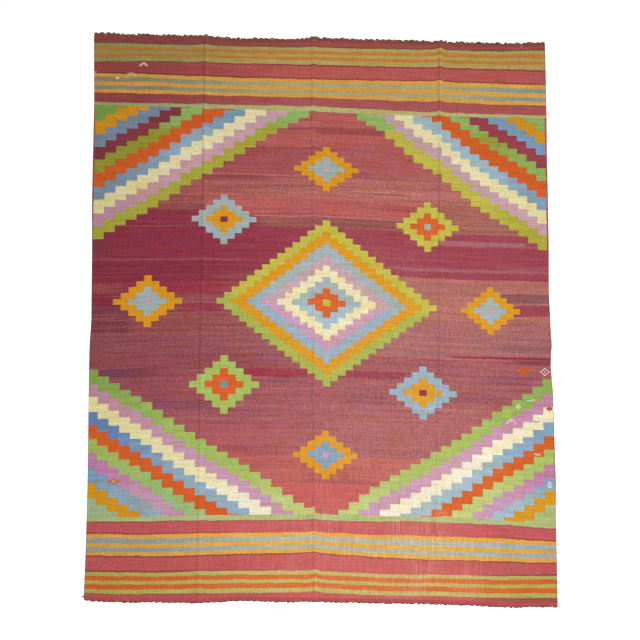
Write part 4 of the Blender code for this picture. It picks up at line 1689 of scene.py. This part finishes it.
def build_stage(stage):
    """The floor, a wide soft light overhead, a softer key low on the right, and the camera."""
    add_floor(stage)
    add_light("key", stage.key_power, KEY)
    add_light("fill", stage.fill_power, FILL)
    world = bpy.data.worlds.new("studio")
    world.use_nodes = True
    background = world.node_tree.nodes["Background"]
    background.inputs["Color"].default_value = (1.0, 1.0, 1.0, 1.0)
    background.inputs["Strength"].default_value = stage.world
    scene = bpy.context.scene
    scene.world = world
    scene.view_settings.view_transform = "Standard"
    add_camera(stage)


# ---- Operators, panel and registration --------------------------------------------------------------

class RUG_OT_stage(bpy.types.Operator):
    """Sets the floor, the lights and the camera"""

    bl_idname = "rug.stage"
    bl_label = "Set the stage"

    def execute(self, context):
        build_stage(context.scene.rug_stage)
        return {"FINISHED"}


class RUG_OT_cloth(bpy.types.Operator):
    """Weaves the sheet over its fixed model"""

    bl_idname = "rug.cloth"
    bl_label = "Weave the cloth"

    def execute(self, context):
        scene = context.scene
        build_cloth(scene.rug_dyes, scene.rug_cloth)
        return {"FINISHED"}


class RUG_OT_end_finishes(bpy.types.Operator):
    """Plaits and knots the warp ends at the head and the foot"""

    bl_idname = "rug.end_finishes"
    bl_label = "Knot the ends"

    def execute(self, context):
        scene = context.scene
        build_end_finish("head_end_finish", 1, 7, scene.rug_finish, scene.rug_dyes)
        build_end_finish("foot_end_finish", -1, 11, scene.rug_finish, scene.rug_dyes)
        return {"FINISHED"}


class RUG_OT_marks(bpy.types.Operator):
    """Brocades the small marks and lays the loose ends"""

    bl_idname = "rug.marks"
    bl_label = "Brocade the marks"

    def execute(self, context):
        scene = context.scene
        build_marks(scene.rug_dyes, scene.rug_cloth, scene.rug_marks)
        build_loose_ends(scene.rug_dyes, scene.rug_cloth, scene.rug_marks)
        return {"FINISHED"}


class RUG_OT_declare(bpy.types.Operator):
    bl_idname = "rug.declare"
    bl_label = "Declare the sheet"

    def execute(self, context):
        found = bpy.data.objects
        pieces = ["head_end_finish_yarns", "foot_end_finish_yarns", "brocade_stitches", "loose_ends"]
        if "woven_sheet" not in found or any(name not in found for name in pieces):
            raise RuntimeError("the sheet and its pieces are made before they are declared")
        return {"FINISHED"}


class RUG_PT_panel(bpy.types.Panel):
    """The rug's operators and settings"""

    bl_label = "Kilim rug"
    bl_idname = "RUG_PT_panel"
    bl_space_type = "VIEW_3D"
    bl_region_type = "UI"
    bl_category = "Rug"

    def draw(self, context):
        for operator in OPERATORS:
            self.layout.operator(operator.bl_idname)
        for label in SETTINGS:
            group = getattr(context.scene, label)
            box = self.layout.box()
            for name in group.__annotations__:
                box.prop(group, name)


OPERATORS = (RUG_OT_stage, RUG_OT_cloth, RUG_OT_end_finishes, RUG_OT_marks, RUG_OT_declare)


def register():
    for group in SETTINGS.values():
        bpy.utils.register_class(group)
    for label, group in SETTINGS.items():
        setattr(bpy.types.Scene, label, PointerProperty(type=group))
    for operator in OPERATORS:
        bpy.utils.register_class(operator)
    bpy.utils.register_class(RUG_PT_panel)


def unregister():
    bpy.utils.unregister_class(RUG_PT_panel)
    for operator in reversed(OPERATORS):
        bpy.utils.unregister_class(operator)
    for label in SETTINGS:
        delattr(bpy.types.Scene, label)
    for group in SETTINGS.values():
        bpy.utils.unregister_class(group)


def main():
    register()
    bpy.ops.rug.stage()
    bpy.ops.rug.cloth()
    bpy.ops.rug.end_finishes()
    bpy.ops.rug.marks()
    bpy.ops.rug.declare()


if __name__ == "__main__":
    main()
